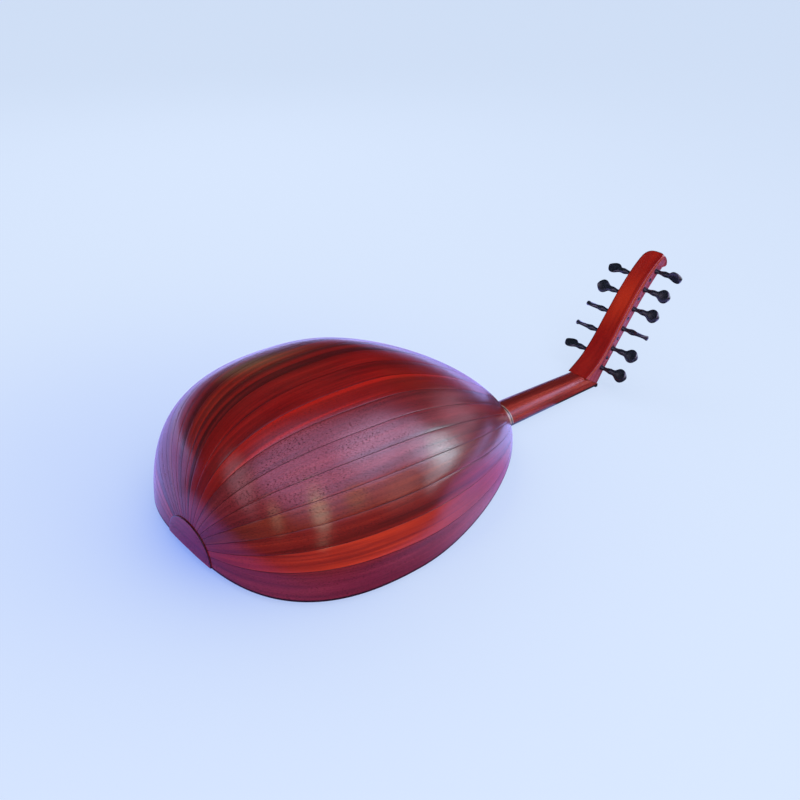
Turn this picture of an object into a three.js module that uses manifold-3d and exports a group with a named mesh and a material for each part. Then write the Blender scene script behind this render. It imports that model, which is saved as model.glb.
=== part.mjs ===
// An oud lying face down: a striped bowl of bent ribs, a short fretless neck and a pegbox that is
// bent back from it, with eleven tuning pegs that turn in tapered bores.
// The instrument is drawn with +X from the bridge to the nut, Y across and +Z from the face to the
// back of the bowl. Its origin is the middle of the bridge's top. At the end the whole instrument
// is tipped until it rests on the bridge and on the nut, as it does on a table.
import * as THREE from 'three';
import { mergeVertices } from 'three/addons/utils/BufferGeometryUtils.js';
import Module from 'manifold-3d';

const wasm = await Module();
wasm.setup();

// Shared clearances, in millimetres like every other length
const glueGap = 0.3;
const overrun = 20;
const weld = 0.0001;

// Bowl
const bodyLength = 476;
const bodyWidth = 364;
const bodyDepth = 185;
const bellyShare = 0.371;
const crownShare = 0.419;
const tailRoundness = 2.84;
const neckRoundness = 1.49;
const crownTailRoundness = 3.17;
const crownNeckRoundness = 1.42;
const ribCount = 21;
const ribThickness = 3;
const ribSeam = 0.3;
const rimRibAngle = 9.7;
const rimRibTaper = -4.5;
const tailOpening = 20;
const tailStepCount = 9;
const neckStepCount = 12;

// Blocks and the plate at the tail
const tailBlockLength = 18;
const tailBlockHalfWidth = 52;
const tailBlockHeight = 46;
const neckBlockLength = 34;
const claspHalfWidth = 45;
const claspHeight = 36;
const claspThickness = 1;
const claspEye = 0.5;
const claspRingCount = 4;
const claspSideCount = 14;

// Face
const soundboardThickness = 2;
const mainHoleRadius = 43;
const mainHoleShare = 0.603;
const smallHoleRadius = 20;
const smallHoleShare = 0.4265;
const smallHoleSpread = 78;
const rosetteThickness = 1.5;
const rosetteRim = 3.5;
const holeSideCount = 36;
const barShares = [0.09, 0.27, 0.365, 0.495, 0.71, 0.8, 0.9];
const barWidth = 6;
const barHeight = 13;
const barEndGap = 3;
const barTaper = 14;
const barSeat = 0.5;
const pickguardLength = 84;
const pickguardWidth = 62;
const pickguardThickness = 0.6;
const pickguardInset = 3;

// Bridge
const tailToBridge = 85;
const bridgeHeight = 8;
const bridgeDepth = 10;
const bridgeBlockWidth = 82;
const bridgeWidth = 112;
const bridgeWingHeight = 3.5;
const bridgeWingTip = 3;
const stringHeightAtBridge = 5.5;

// Neck and fingerboard
const neckLength = 191.5;
const heelWidth = 50;
const heelDepth = 19;
const nutEndWidth = 35;
const nutEndDepth = 20;
const heelRoundness = 2;
const nutEndRoundness = 2.7;
const neckSideCount = 16;
const neckPartCount = 8;
const heelRingThickness = 5;
const fingerboardRise = 1.5;
const fingerboardInset = 1;
const tongueLength = 62;
const nutThickness = 4.5;
const nutRise = 2.2;
const nutSlotDepth = 1.7;

// Pegbox, in its own frame: s runs up the pegbox, n towards its open front
const pegboxAngle = 52;
const pegboxLength = 213;
const footLean = 9.1;
const footStepCount = 4;
const pegboxDepth = 24;
const pegboxHalfWidth = 17.6;
const pegboxTipHalfWidth = 15.2;
const pegboxBackThickness = 4;
const cheekThickness = 5;
const pegboxPartCount = 13;
const baseBlockLength = 9;
const baseBlockShare = 0.35;
const tipBlockLength = 17;
const tipRoundLength = 14;
const tipRoundShares = [[0, 1], [0.2, 0.987], [0.4, 0.937], [0.6, 0.836], [0.75, 0.709], [0.87, 0.546],
  [0.95, 0.362], [1, 0.15]];
const backShares = [[0, -1.34], [0.07, -1.08], [0.13, -0.947], [0.26, -0.86], [0.44, -0.927],
  [0.63, -0.987], [0.77, -0.937], [0.89, -0.777], [1, -0.457]];
const frontShares = [[0, -0.12], [0.12, -0.2], [0.3, -0.225], [0.55, -0.25], [0.66, -0.24],
  [0.76, -0.17], [0.86, -0.07], [0.92, 0.06], [1, 0.34]];
const tipBlockEndShare = 0.8;
const tipBlockPartCount = 8;
const tipLipShares = [[0, 0.06], [0.24, 0.2], [0.42, 0.4], [0.58, 0.42], [0.86, 0.16], [1, -0.2]];

// Pegs
const pegCount = 11;
const firstPegAt = 22.1;
const pegPitch = 16.4;
const pegRootRadius = 4;
const pegTipRadius = 2.6;
const boreClearance = 0.3;
const pegTipStand = 0.3;
const pegReach = 44.5;
const pegHeadRadius = 10;
const pegSideCount = 12;
const pegOutlineShares = [[0.16, 0.28, 0.28], [0.36, 0.43, 0.43], [0.48, 0.42, 0.36],
  [0.54, 0.5, 0.3], [0.6, 0.7, 0.26], [0.66, 0.885, 0.235], [0.72, 0.98, 0.22], [0.77, 1, 0.215],
  [0.83, 0.96, 0.22], [0.88, 0.86, 0.235], [0.925, 0.7, 0.26], [0.955, 0.52, 0.3],
  [0.985, 0.27, 0.27], [1, 0.14, 0.14]];
const headTurns = [155, 104, 150, 66, 64, 74, 158, 152, 160, 118, 200];

// Strings: one bass and five pairs, numbered from the bass side
const courseCount = 6;
const bridgeSpread = 72;
const bridgePairGap = 3.2;
const nutSpread = 24;
const nutPairGap = 1.9;
const bassDiameter = 1.1;
const trebleDiameter = 0.7;
const stringClearance = 0.3;
const stringSideCount = 6;
const knotRadius = 1.3;
const bendReach = 0.8;
const gatherShare = 0.58;
const windingTurnCount = 1.8;
const windingStepCount = 10;
const windingSideCount = 5;
const windingGap = 0.5;
const windingLift = 0.25;
const windingTail = 3.1;
const windingEndShare = 0.6;
const turningRoom = 0.15;
const bassSidePegs = [0, 2, 4, 6, 8, 10];
const trebleSidePegs = [9, 7, 5, 3, 1];

// Colours
const ribColours = [0x6a1f38, 0xd0391d, 0x7c1a16, 0x96402c, 0x8a3a2a, 0x94525a, 0x8f4a58, 0xa23c40,
  0xb8201a, 0x7a1c1a, 0x8c2b20];
const rosewood = 0x8a2a1e;
const redwood = 0xb02316;
const pinkwood = 0xb04a52;
const spruce = 0xd9b27a;
const ebony = 0x14141a;
const horn = 0x241c1a;
const gut = 0xe6ddc6;

// Places that follow from the sizes
const faceZ = bridgeHeight;
const rimZ = faceZ + soundboardThickness + glueGap;
const tailX = -tailToBridge;
const heelX = tailX + bodyLength;
const nutX = heelX + neckLength;
const neckEndX = nutX + nutThickness;
const neckFlatZ = faceZ + fingerboardInset + glueGap;
const nutTopZ = faceZ - fingerboardRise - nutRise;
const tilt = THREE.MathUtils.degToRad(pegboxAngle);
const lean = THREE.MathUtils.degToRad(footLean);
const upPegbox = new THREE.Vector3(Math.cos(tilt), 0, Math.sin(tilt));
const toFront = new THREE.Vector3(Math.sin(tilt), 0, -Math.cos(tilt));
const pegboxFoot = new THREE.Vector3(neckEndX, 0, neckFlatZ);

// Closed surface through a row of rings that all have the same number of points
function loft(rings, rowCaps = false) {
  const sides = rings[0].length;
  const positions = rings.flat().flatMap((point) => [point.x, point.y, point.z]);
  const faces = [];
  for (let i = 1; i < rings.length; i += 1) {
    for (let j = 0; j < sides; j += 1) {
      const a = (i - 1) * sides + j;
      const b = (i - 1) * sides + (j + 1) % sides;
      faces.push(a, b, b + sides, a, b + sides, a + sides);
    }
  }
  const cap = [];
  if (rowCaps) {
    for (let j = 0; j < sides / 2 - 1; j += 1) {
      const back = sides - 1 - j;
      cap.push([j, j + 1, back - 1], [j, back - 1, back]);
    }
  } else {
    for (let j = 1; j < sides - 1; j += 1) cap.push([0, j, j + 1]);
  }
  const last = (rings.length - 1) * sides;
  for (const [a, b, c] of cap) faces.push(a, c, b, last + a, last + b, last + c);
  const geometry = new THREE.BufferGeometry();
  geometry.setAttribute('position', new THREE.Float32BufferAttribute(positions, 3));
  geometry.setIndex(faces);
  return faceOut(geometry);
}

// Turns the faces outwards when the enclosed volume comes out negative
function faceOut(geometry) {
  const position = geometry.getAttribute('position');
  const index = geometry.getIndex();
  const corner = (i) => new THREE.Vector3().fromBufferAttribute(position, index.getX(i));
  let volume = 0;
  for (let i = 0; i < index.count; i += 3) {
    volume += corner(i).dot(corner(i + 1).cross(corner(i + 2)));
  }
  if (volume < 0) {
    for (let i = 0; i < index.count; i += 3) {
      const kept = index.getX(i + 1);
      index.setX(i + 1, index.getX(i + 2));
      index.setX(i + 2, kept);
    }
  }
  return geometry;
}

// Positions and shared corners only, which is what a boolean needs
function welded(geometry) {
  const bare = geometry.clone();
  bare.deleteAttribute('normal');
  bare.deleteAttribute('uv');
  return mergeVertices(bare, weld);
}

function toSolid(geometry) {
  const merged = faceOut(welded(geometry));
  const vertProperties = Float32Array.from(merged.getAttribute('position').array);
  const triVerts = Uint32Array.from(merged.getIndex().array);
  return new wasm.Manifold(new wasm.Mesh({ numProp: 3, vertProperties, triVerts }));
}

function toGeometry(solid) {
  const mesh = solid.getMesh();
  const geometry = new THREE.BufferGeometry();
  geometry.setAttribute('position', new THREE.Float32BufferAttribute(mesh.vertProperties, 3));
  geometry.setIndex(Array.from(mesh.triVerts));
  return geometry;
}

function join(first, ...others) {
  let solid = toSolid(first);
  for (const other of others) solid = solid.add(toSolid(other));
  return toGeometry(solid);
}

function cut(first, ...others) {
  let solid = toSolid(first);
  for (const other of others) solid = solid.subtract(toSolid(other));
  return toGeometry(solid);
}

function common(first, second) {
  return toGeometry(toSolid(first).intersect(toSolid(second)));
}

// Box between two corners
function box(low, high) {
  const size = new THREE.Vector3().subVectors(high, low);
  const middle = new THREE.Vector3().addVectors(low, high).multiplyScalar(0.5);
  return new THREE.BoxGeometry(size.x, size.y, size.z).translate(middle.x, middle.y, middle.z);
}

function plate(points, thickness, holes = []) {
  const shape = new THREE.Shape(points);
  shape.holes = holes.map((hole) => new THREE.Path(hole));
  return new THREE.ExtrudeGeometry(shape, { depth: thickness, bevelEnabled: false });
}

function circle(x, y, radius, sides) {
  return Array.from({ length: sides }, (unused, i) => {
    const angle = Math.PI * 2 * i / sides;
    return new THREE.Vector2(x + radius * Math.cos(angle), y + radius * Math.sin(angle));
  });
}

// Height of a curve through a table of places, with an even slope at each of them
function follow(table, place) {
  let i = 0;
  while (i < table.length - 2 && place > table[i + 1][0]) i += 1;
  const slope = (k) => {
    const low = table[Math.max(k - 1, 0)];
    const high = table[Math.min(k + 1, table.length - 1)];
    return (high[1] - low[1]) / (high[0] - low[0]);
  };
  const [x0, y0] = table[i];
  const [x1, y1] = table[i + 1];
  const span = x1 - x0;
  const t = (place - x0) / span;
  const rest = 1 - t;
  return y0 * rest * rest * (1 + t + t) + y1 * t * t * (1 + rest + rest)
    + span * t * rest * (slope(i) * rest - slope(i + 1) * t);
}

// Half width and depth of the bowl at a distance from its tail
function swell(place, full, end, peak, tailPower, neckPower) {
  if (place <= peak) {
    return full * Math.pow(1 - Math.pow((peak - place) / peak, tailPower), 1 / tailPower);
  }
  const reach = Math.pow(1 - Math.pow(end / full, neckPower), 1 / neckPower);
  const run = Math.min((place - peak) / (bodyLength - peak), 1) * reach;
  return full * Math.pow(1 - Math.pow(run, neckPower), 1 / neckPower);
}

function bowlHalfWidth(place) {
  return swell(place, bodyWidth / 2, heelWidth / 2, bellyShare * bodyLength, tailRoundness,
    neckRoundness);
}

function bowlDepth(place) {
  return swell(place, bodyDepth, heelDepth, crownShare * bodyLength, crownTailRoundness,
    crownNeckRoundness);
}

// Half width inside the ribs, which stand square to the outline
function innerHalfWidth(place) {
  const little = 0.001;
  const slope = (bowlHalfWidth(place + little) - bowlHalfWidth(place - little)) / little / 2;
  return bowlHalfWidth(place) - ribThickness * Math.hypot(1, slope);
}

// Distance from the tail at a step along the bowl, with closer steps where it turns fast
function placeAt(step, opening) {
  const belly = bellyShare * bodyLength;
  if (step > tailStepCount) return belly + (bodyLength - belly) * (step - tailStepCount) / neckStepCount;
  const first = Math.asin(Math.pow(opening / (bodyWidth / 2), tailRoundness / 2));
  const turn = first + (Math.PI / 2 - first) * step / tailStepCount;
  return belly * (1 - Math.pow(Math.cos(turn), 2 / tailRoundness));
}

function bowlPoint(place, angle) {
  return new THREE.Vector3(tailX + place, -bowlHalfWidth(place) * Math.cos(angle),
    faceZ + bowlDepth(place) * Math.sin(angle));
}

function bowlNormal(step, opening, angle) {
  const little = 0.001;
  const at = (move, turn) => bowlPoint(placeAt(step + move, opening), angle + turn);
  const low = step > little ? -little : 0;
  const high = step < tailStepCount + neckStepCount - little ? little : 0;
  const along = at(high, 0).sub(at(low, 0));
  const round = at(0, little).sub(at(0, -little));
  return along.cross(round).normalize();
}

// Angles of the seams: a rim rib that narrows to the neck, and equal ribs between the two rims
function rimAngle(place) {
  return Math.asin((rimZ - faceZ) / bowlDepth(place));
}

function seamAngle(seam, place) {
  const rim = rimAngle(place);
  if (seam === 0) return rim;
  if (seam === ribCount) return Math.PI - rim;
  const drift = (place / bodyLength - bellyShare) * 2;
  const first = rim + THREE.MathUtils.degToRad(rimRibAngle + rimRibTaper * drift);
  return first + (Math.PI - first * 2) * (seam - 1) / (ribCount - 2);
}

function ribGeometry(rib) {
  const rings = [];
  for (let step = 0; step <= tailStepCount + neckStepCount; step += 1) {
    const place = placeAt(step, tailOpening);
    const low = seamAngle(rib, place);
    const high = seamAngle(rib + 1, place);
    const middle = (low + high) / 2;
    const little = 0.001;
    const round = bowlPoint(place, middle + little).distanceTo(bowlPoint(place, middle)) / little;
    const gap = ribSeam / 2 / round;
    const angles = [rib === 0 ? low : low + gap, middle, rib === ribCount - 1 ? high : high - gap];
    const outer = angles.map((angle) => bowlPoint(place, angle));
    const inner = angles.map((angle, i) => {
      const normal = bowlNormal(step, tailOpening, angle);
      const point = outer[i].clone().addScaledVector(normal, -ribThickness);
      point.z = Math.max(point.z, rimZ);
      return point;
    });
    if (rib === 0) inner[0].z = rimZ;
    if (rib === ribCount - 1) inner[2].z = rimZ;
    rings.push([...outer, ...inner.reverse()]);
  }
  return loft(rings, true);
}

// The hollow of the bowl, less a glue gap, from which the two end blocks are taken
function bowlCore() {
  const rings = [];
  const depth = ribThickness + glueGap;
  const arcs = ribCount * 2;
  for (let step = 0; step <= tailStepCount + neckStepCount; step += 1) {
    const place = placeAt(step, tailOpening);
    const rim = rimAngle(place);
    const ring = [];
    for (let i = 0; i <= arcs; i += 1) {
      const angle = rim + (Math.PI - rim * 2) * i / arcs;
      const normal = bowlNormal(step, tailOpening, angle);
      const point = bowlPoint(place, angle).addScaledVector(normal, -depth);
      point.z = Math.max(point.z, rimZ);
      if (i === 0 || i === arcs) point.z = rimZ;
      ring.push(point);
    }
    rings.push(ring);
  }
  return loft(rings);
}

function tailBlockGeometry(core) {
  const low = new THREE.Vector3(tailX - overrun, -tailBlockHalfWidth, rimZ - overrun);
  const high = new THREE.Vector3(tailX + tailBlockLength, tailBlockHalfWidth,
    faceZ + tailBlockHeight);
  return common(core, box(low, high));
}

function neckBlockGeometry(core) {
  const low = new THREE.Vector3(heelX - neckBlockLength, -bodyWidth, rimZ - overrun);
  const high = new THREE.Vector3(heelX + overrun, bodyWidth, faceZ + bodyDepth);
  return common(core, box(low, high));
}

// Half-round plate that covers the ends of the ribs at the tail
function claspGeometry() {
  const rings = [];
  for (let i = 0; i <= claspRingCount; i += 1) {
    const share = i / claspRingCount;
    const halfWidth = claspEye + (claspHalfWidth - claspEye) * share;
    const height = claspEye + (claspHeight - claspEye) * share;
    const outer = [];
    const inner = [];
    for (let j = 0; j <= claspSideCount; j += 1) {
      const angle = Math.PI * j / claspSideCount;
      const y = -halfWidth * Math.cos(angle);
      const z = height * Math.sin(angle);
      const place = placeOnTail(y, z);
      const point = new THREE.Vector3(tailX + place, y, faceZ + z);
      inner.push(point.clone().add(new THREE.Vector3(-glueGap, 0, 0)));
      outer.push(point.add(new THREE.Vector3(-glueGap - claspThickness, 0, 0)));
    }
    rings.push([...outer, ...inner.reverse()]);
  }
  return loft(rings, true);
}

// Distance from the tail at which the bowl passes through a point seen from its end
function placeOnTail(y, z) {
  let low = 0;
  let high = bellyShare * bodyLength;
  for (let i = 0; i < 50; i += 1) {
    const middle = (low + high) / 2;
    const inside = Math.hypot(y / bowlHalfWidth(middle), z / bowlDepth(middle)) < 1;
    if (inside) high = middle;
    else low = middle;
  }
  return high;
}

function soundboardGeometry() {
  const edge = [];
  for (let step = 0; step <= tailStepCount + neckStepCount; step += 1) {
    const place = placeAt(step, tailOpening);
    edge.push(new THREE.Vector2(tailX + place, bowlHalfWidth(place)));
  }
  const other = edge.map((point) => new THREE.Vector2(point.x, -point.y)).reverse();
  const holes = soundHoles().map(({ x, y, radius }) => circle(x, y, radius, holeSideCount));
  const board = plate([...edge, ...other], soundboardThickness, holes).translate(0, 0, faceZ);
  const bars = barShares.map((share) => {
    const place = share * bodyLength;
    const half = Math.min(innerHalfWidth(place - barWidth / 2), innerHalfWidth(place + barWidth / 2))
      - barEndGap;
    const low = faceZ + soundboardThickness - barSeat;
    const high = faceZ + soundboardThickness + barHeight;
    const ends = [[-half, low], [half, low], [half - barTaper, high], [barTaper - half, high]];
    const rings = [-barWidth / 2, barWidth / 2].map((move) => ends.map(([y, z]) => (
      new THREE.Vector3(tailX + place + move, y, z))));
    return loft(rings);
  });
  return join(board, ...bars);
}

function soundHoles() {
  const smallX = tailX + smallHoleShare * bodyLength;
  return [
    { x: tailX + mainHoleShare * bodyLength, y: 0, radius: mainHoleRadius },
    { x: smallX, y: -smallHoleSpread, radius: smallHoleRadius },
    { x: smallX, y: smallHoleSpread, radius: smallHoleRadius },
  ];
}

// Pierced rose of kites that stand point to point on crossing rays
function rosetteGeometry(hole, folds, rows) {
  const outside = hole.radius - glueGap;
  const inside = outside - rosetteRim;
  const kites = [];
  rows.forEach(([nearShare, middleShare, farShare, spreadShare], row) => {
    for (let i = 0; i < folds; i += 1) {
      const turn = Math.PI * 2 * (i + (row % 2) / 2) / folds;
      const spread = Math.PI / folds * spreadShare;
      const corner = (share, angle) => new THREE.Vector2(
        hole.x + inside * share * Math.cos(angle), hole.y + inside * share * Math.sin(angle));
      kites.push([corner(nearShare, turn), corner(middleShare, turn + spread),
        corner(farShare, turn), corner(middleShare, turn - spread)]);
    }
  });
  const eye = circle(hole.x, hole.y, inside * rows[0][0] / 2, folds);
  const rose = plate(circle(hole.x, hole.y, outside, holeSideCount), rosetteThickness, [eye, ...kites]);
  return rose.translate(0, 0, faceZ);
}

// Thin guard between the bridge and the main sound hole
function pickguardGeometry() {
  const hole = soundHoles()[0];
  const endX = hole.x - hole.radius - pickguardInset;
  const shares = [[0, 0.16], [0.1, 0.3], [0.28, 0.42], [0.52, 0.5], [0.76, 0.48], [0.93, 0.4],
    [1, 0.27]];
  const edge = shares.map(([along, across]) => new THREE.Vector2(
    endX - pickguardLength + pickguardLength * along, pickguardWidth * across));
  const other = edge.map((point) => new THREE.Vector2(point.x, -point.y)).reverse();
  const guard = plate([...edge, ...other], pickguardThickness);
  return guard.translate(0, 0, faceZ - glueGap - pickguardThickness);
}

function bridgeGeometry() {
  const foot = bridgeHeight - glueGap;
  const half = bridgeDepth / 2;
  const block = box(new THREE.Vector3(-half, -bridgeBlockWidth / 2, 0),
    new THREE.Vector3(half, bridgeBlockWidth / 2, foot));
  const wingShares = [[0.6, 1], [0.8, 0.9], [0.92, 0.5]];
  const side = (across) => wingShares.map(([along, deep]) => new THREE.Vector2(
    across * half * deep, bridgeWidth / 2 * along));
  const tip = [new THREE.Vector2(-bridgeWingTip / 2, bridgeWidth / 2),
    new THREE.Vector2(bridgeWingTip / 2, bridgeWidth / 2)];
  const upper = [...side(-1), ...tip, ...side(1).reverse()];
  const lower = upper.map((point) => new THREE.Vector2(point.x, -point.y)).reverse();
  const wings = plate([...upper, ...lower], bridgeWingHeight);
  wings.translate(0, 0, foot - bridgeWingHeight);
  const holes = strings().map((string) => new THREE.CylinderGeometry(
    string.radius + stringClearance, string.radius + stringClearance, bridgeDepth + overrun,
    stringSideCount).rotateZ(Math.PI / 2).translate(0, string.bridgeY, stringZAtBridge()));
  return cut(join(block, wings), ...holes);
}

// Point of the neck's section: a rounded back over a flat, squarer towards the nut
function neckPoint(x, side) {
  const share = THREE.MathUtils.clamp((x - heelX) / (neckEndX - heelX), 0, 1);
  const half = THREE.MathUtils.lerp(heelWidth, nutEndWidth, share) / 2;
  const depth = THREE.MathUtils.lerp(heelDepth, nutEndDepth, share);
  const power = THREE.MathUtils.lerp(heelRoundness, nutEndRoundness, share);
  const start = Math.asin(Math.pow((neckFlatZ - faceZ) / depth, power / 2));
  const angle = start + (Math.PI - start * 2) * side / neckSideCount;
  const across = Math.cos(angle);
  return new THREE.Vector3(x, -half * Math.sign(across) * Math.pow(Math.abs(across), 2 / power),
    faceZ + depth * Math.pow(Math.sin(angle), 2 / power));
}

function neckRing(x) {
  return Array.from({ length: neckSideCount + 1 }, (unused, side) => neckPoint(x, side));
}

// Where a side of the neck meets the leaning joint with the pegbox
function neckEndAt(side) {
  let x = neckEndX;
  for (let i = 0; i < footStepCount; i += 1) {
    const rise = neckPoint(x, side).z - pegboxFoot.z;
    x = pegboxFoot.x - rise * Math.tan(tilt + lean) - glueGap / Math.cos(tilt + lean);
  }
  return x;
}

function neckGeometry() {
  const start = heelX + heelRingThickness + glueGap * 2;
  const ends = neckRing(neckEndX).map((unused, side) => neckEndAt(side));
  const rings = [];
  for (let i = 0; i <= neckPartCount; i += 1) {
    rings.push(ends.map((end, side) => neckPoint(
      THREE.MathUtils.lerp(start, end, i / neckPartCount), side)));
  }
  return loft(rings);
}

function heelRingGeometry() {
  const start = heelX + glueGap;
  return loft([neckRing(start), neckRing(start + heelRingThickness)]);
}

function fingerboardGeometry() {
  const startX = heelX + glueGap;
  const endX = nutX - glueGap;
  const narrow = THREE.MathUtils.lerp(heelWidth, nutEndWidth, neckLength / (neckEndX - heelX));
  const board = plate([
    new THREE.Vector2(startX, -heelWidth / 2),
    new THREE.Vector2(endX, -narrow / 2),
    new THREE.Vector2(endX, narrow / 2),
    new THREE.Vector2(startX, heelWidth / 2),
  ], fingerboardRise + fingerboardInset).translate(0, 0, faceZ - fingerboardRise);
  const tongueShares = [[0, 0.5], [0.55, 0.5], [0.8, 0.28], [1, 0]];
  const edge = tongueShares.map(([along, across]) => new THREE.Vector2(
    startX + glueGap - (tongueLength + glueGap) * along, heelWidth * across));
  const other = edge.slice(0, -1).map((point) => new THREE.Vector2(point.x, -point.y)).reverse();
  const tongue = plate([...edge, ...other], fingerboardRise - glueGap);
  tongue.translate(0, 0, faceZ - fingerboardRise);
  return join(board, tongue);
}

function nutGeometry() {
  const half = nutEndWidth / 2;
  const blank = box(new THREE.Vector3(nutX, -half, nutTopZ),
    new THREE.Vector3(neckEndX, half, neckFlatZ - glueGap));
  const slots = strings().map((string) => {
    const wide = string.radius + stringClearance;
    return box(new THREE.Vector3(nutX - overrun, string.nutY - wide, nutTopZ - overrun),
      new THREE.Vector3(neckEndX + overrun, string.nutY + wide, nutTopZ + nutSlotDepth));
  });
  return cut(blank, ...slots);
}

// Pegbox frame to instrument frame
function inPegbox(s, n, y) {
  return pegboxFoot.clone().addScaledVector(upPegbox, s).addScaledVector(toFront, n)
    .add(new THREE.Vector3(0, y, 0));
}

function backAt(s) {
  return pegboxDepth * follow(backShares, s / pegboxLength);
}

function frontAt(s) {
  return pegboxDepth * follow(frontShares, s / pegboxLength);
}

function halfWidthAt(s) {
  return THREE.MathUtils.lerp(pegboxHalfWidth, pegboxTipHalfWidth, s / pegboxLength);
}

function rangeOf(from, to, parts) {
  return Array.from({ length: parts + 1 }, (unused, i) => THREE.MathUtils.lerp(from, to, i / parts));
}

// Half the width, with the round end of the pegbox
function tipHalfWidthAt(s) {
  const along = (s - pegboxLength + tipRoundLength) / tipRoundLength;
  return halfWidthAt(s) * (along > 0 ? follow(tipRoundShares, along) : 1);
}

// Place along the pegbox, or on the leaning joint with the neck where s is 0
function fromFoot(s, n) {
  return s === 0 ? n * Math.tan(lean) : s;
}

function pegboxRing(s, low, high, half) {
  const lowAt = fromFoot(s, low);
  const highAt = fromFoot(s, high);
  return [inPegbox(lowAt, low, -half), inPegbox(lowAt, low, half), inPegbox(highAt, high, half),
    inPegbox(highAt, high, -half)];
}

const cheekEnd = pegboxLength - tipBlockLength;
const tipRoundStart = pegboxLength - tipRoundLength;

function pegboxBackGeometry() {
  const stations = [...rangeOf(0, cheekEnd, pegboxPartCount), tipRoundStart];
  const rounded = tipRoundShares.slice(1).map(([along]) => tipRoundStart + tipRoundLength * along);
  const back = loft([...stations, ...rounded].map((s) => pegboxRing(s, backAt(s),
    backAt(s) + pegboxBackThickness, tipHalfWidthAt(s))));
  const base = loft([0, baseBlockLength].map((s) => pegboxRing(s,
    backAt(s) + pegboxBackThickness / 2, -pegboxDepth * baseBlockShare,
    halfWidthAt(s) - cheekThickness - glueGap)));
  return join(back, base);
}

function pegboxCheekGeometry(side) {
  const at = (s, n) => new THREE.Vector2(fromFoot(s, n), n);
  const back = rangeOf(0, cheekEnd, pegboxPartCount).map((s) => at(s,
    backAt(s) + pegboxBackThickness + glueGap));
  const front = rangeOf(cheekEnd, 0, pegboxPartCount).map((s) => at(s, frontAt(s)));
  const nominal = pegRootRadius + boreClearance;
  const bores = pegs().map((peg) => circle(peg.s, peg.n, nominal, pegSideCount));
  const cheek = plate([...back, ...front], cheekThickness, bores);
  const position = cheek.getAttribute('position');
  for (let i = 0; i < position.count; i += 1) {
    const place = new THREE.Vector2(position.getX(i), position.getY(i));
    const y = side * (halfWidthAt(place.x) - position.getZ(i));
    const peg = pegs().find((other) => Math.hypot(place.x - other.s, place.y - other.n)
      < nominal + boreClearance);
    if (peg) {
      const centre = new THREE.Vector2(peg.s, peg.n);
      place.sub(centre).setLength(shaftRadius(peg, peg.side * y) + boreClearance).add(centre);
    }
    const point = inPegbox(place.x, place.y, y);
    position.setXYZ(i, point.x, point.y, point.z);
  }
  return faceOut(welded(cheek));
}

// Solid end of the pegbox, curled a little towards the strings
function pegboxTipGeometry() {
  const start = cheekEnd + glueGap;
  const end = tipRoundStart + tipRoundLength * tipBlockEndShare;
  return loft(rangeOf(0, 1, tipBlockPartCount).map((along) => {
    const s = THREE.MathUtils.lerp(start, end, along);
    return pegboxRing(s, backAt(s) + pegboxBackThickness + glueGap,
      pegboxDepth * follow(tipLipShares, along), tipHalfWidthAt(s));
  }));
}

// Where each peg crosses the pegbox and which side its head is on
function pegs() {
  return Array.from({ length: pegCount }, (unused, i) => {
    const s = firstPegAt + pegPitch * i;
    const n = (backAt(s) + pegboxBackThickness + frontAt(s)) / 2;
    return { s, n, half: halfWidthAt(s), side: i % 2 === 0 ? -1 : 1, axis: inPegbox(s, n, 0) };
  });
}

// Radius of a peg's shaft, with q measured from the middle of the pegbox towards the head
function shaftRadius(peg, q) {
  return THREE.MathUtils.mapLinear(q, peg.half, -peg.half, pegRootRadius, pegTipRadius);
}

// A peg about its own axis: tapered shaft, waist, collar, flat round head and a small end button
function pegGeometry(peg, turn, winding) {
  const angle = THREE.MathUtils.degToRad(turn);
  const thin = new THREE.Vector3(Math.cos(angle), 0, Math.sin(angle));
  const wide = new THREE.Vector3(-Math.sin(angle), 0, Math.cos(angle));
  const ring = (q, halfWide, halfThin) => Array.from({ length: pegSideCount }, (unused, i) => {
    const around = Math.PI * 2 * i / pegSideCount;
    return new THREE.Vector3(0, peg.side * q, 0)
      .addScaledVector(wide, halfWide * Math.cos(around))
      .addScaledVector(thin, halfThin * Math.sin(around));
  });
  const tip = -peg.half - pegTipStand;
  const rings = [tip, peg.half].map((q) => {
    const radius = shaftRadius(peg, q);
    return ring(q, radius, radius);
  });
  for (const [along, wideShare, thinShare] of pegOutlineShares) {
    rings.push(ring(peg.half + pegReach * along, pegHeadRadius * wideShare,
      pegHeadRadius * thinShare));
  }
  return join(loft(rings), winding);
}

// One string after another from the bass side, each with its peg
function strings() {
  const list = [];
  for (let course = 0; course < courseCount; course += 1) {
    const share = course / (courseCount - 1);
    const radius = THREE.MathUtils.lerp(bassDiameter, trebleDiameter, share) / 2;
    const places = course === 0 ? [0] : [-1, 1];
    for (const place of places) {
      list.push({
        radius,
        bridgeY: bridgeSpread * (share - 0.5) + bridgePairGap / 2 * place,
        nutY: nutSpread * (share - 0.5) + nutPairGap / 2 * place,
      });
    }
  }
  const order = [...bassSidePegs, ...trebleSidePegs];
  return list.map((string, i) => ({ ...string, peg: order[i] }));
}

function stringZAtBridge() {
  return faceZ - stringHeightAtBridge;
}

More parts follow.
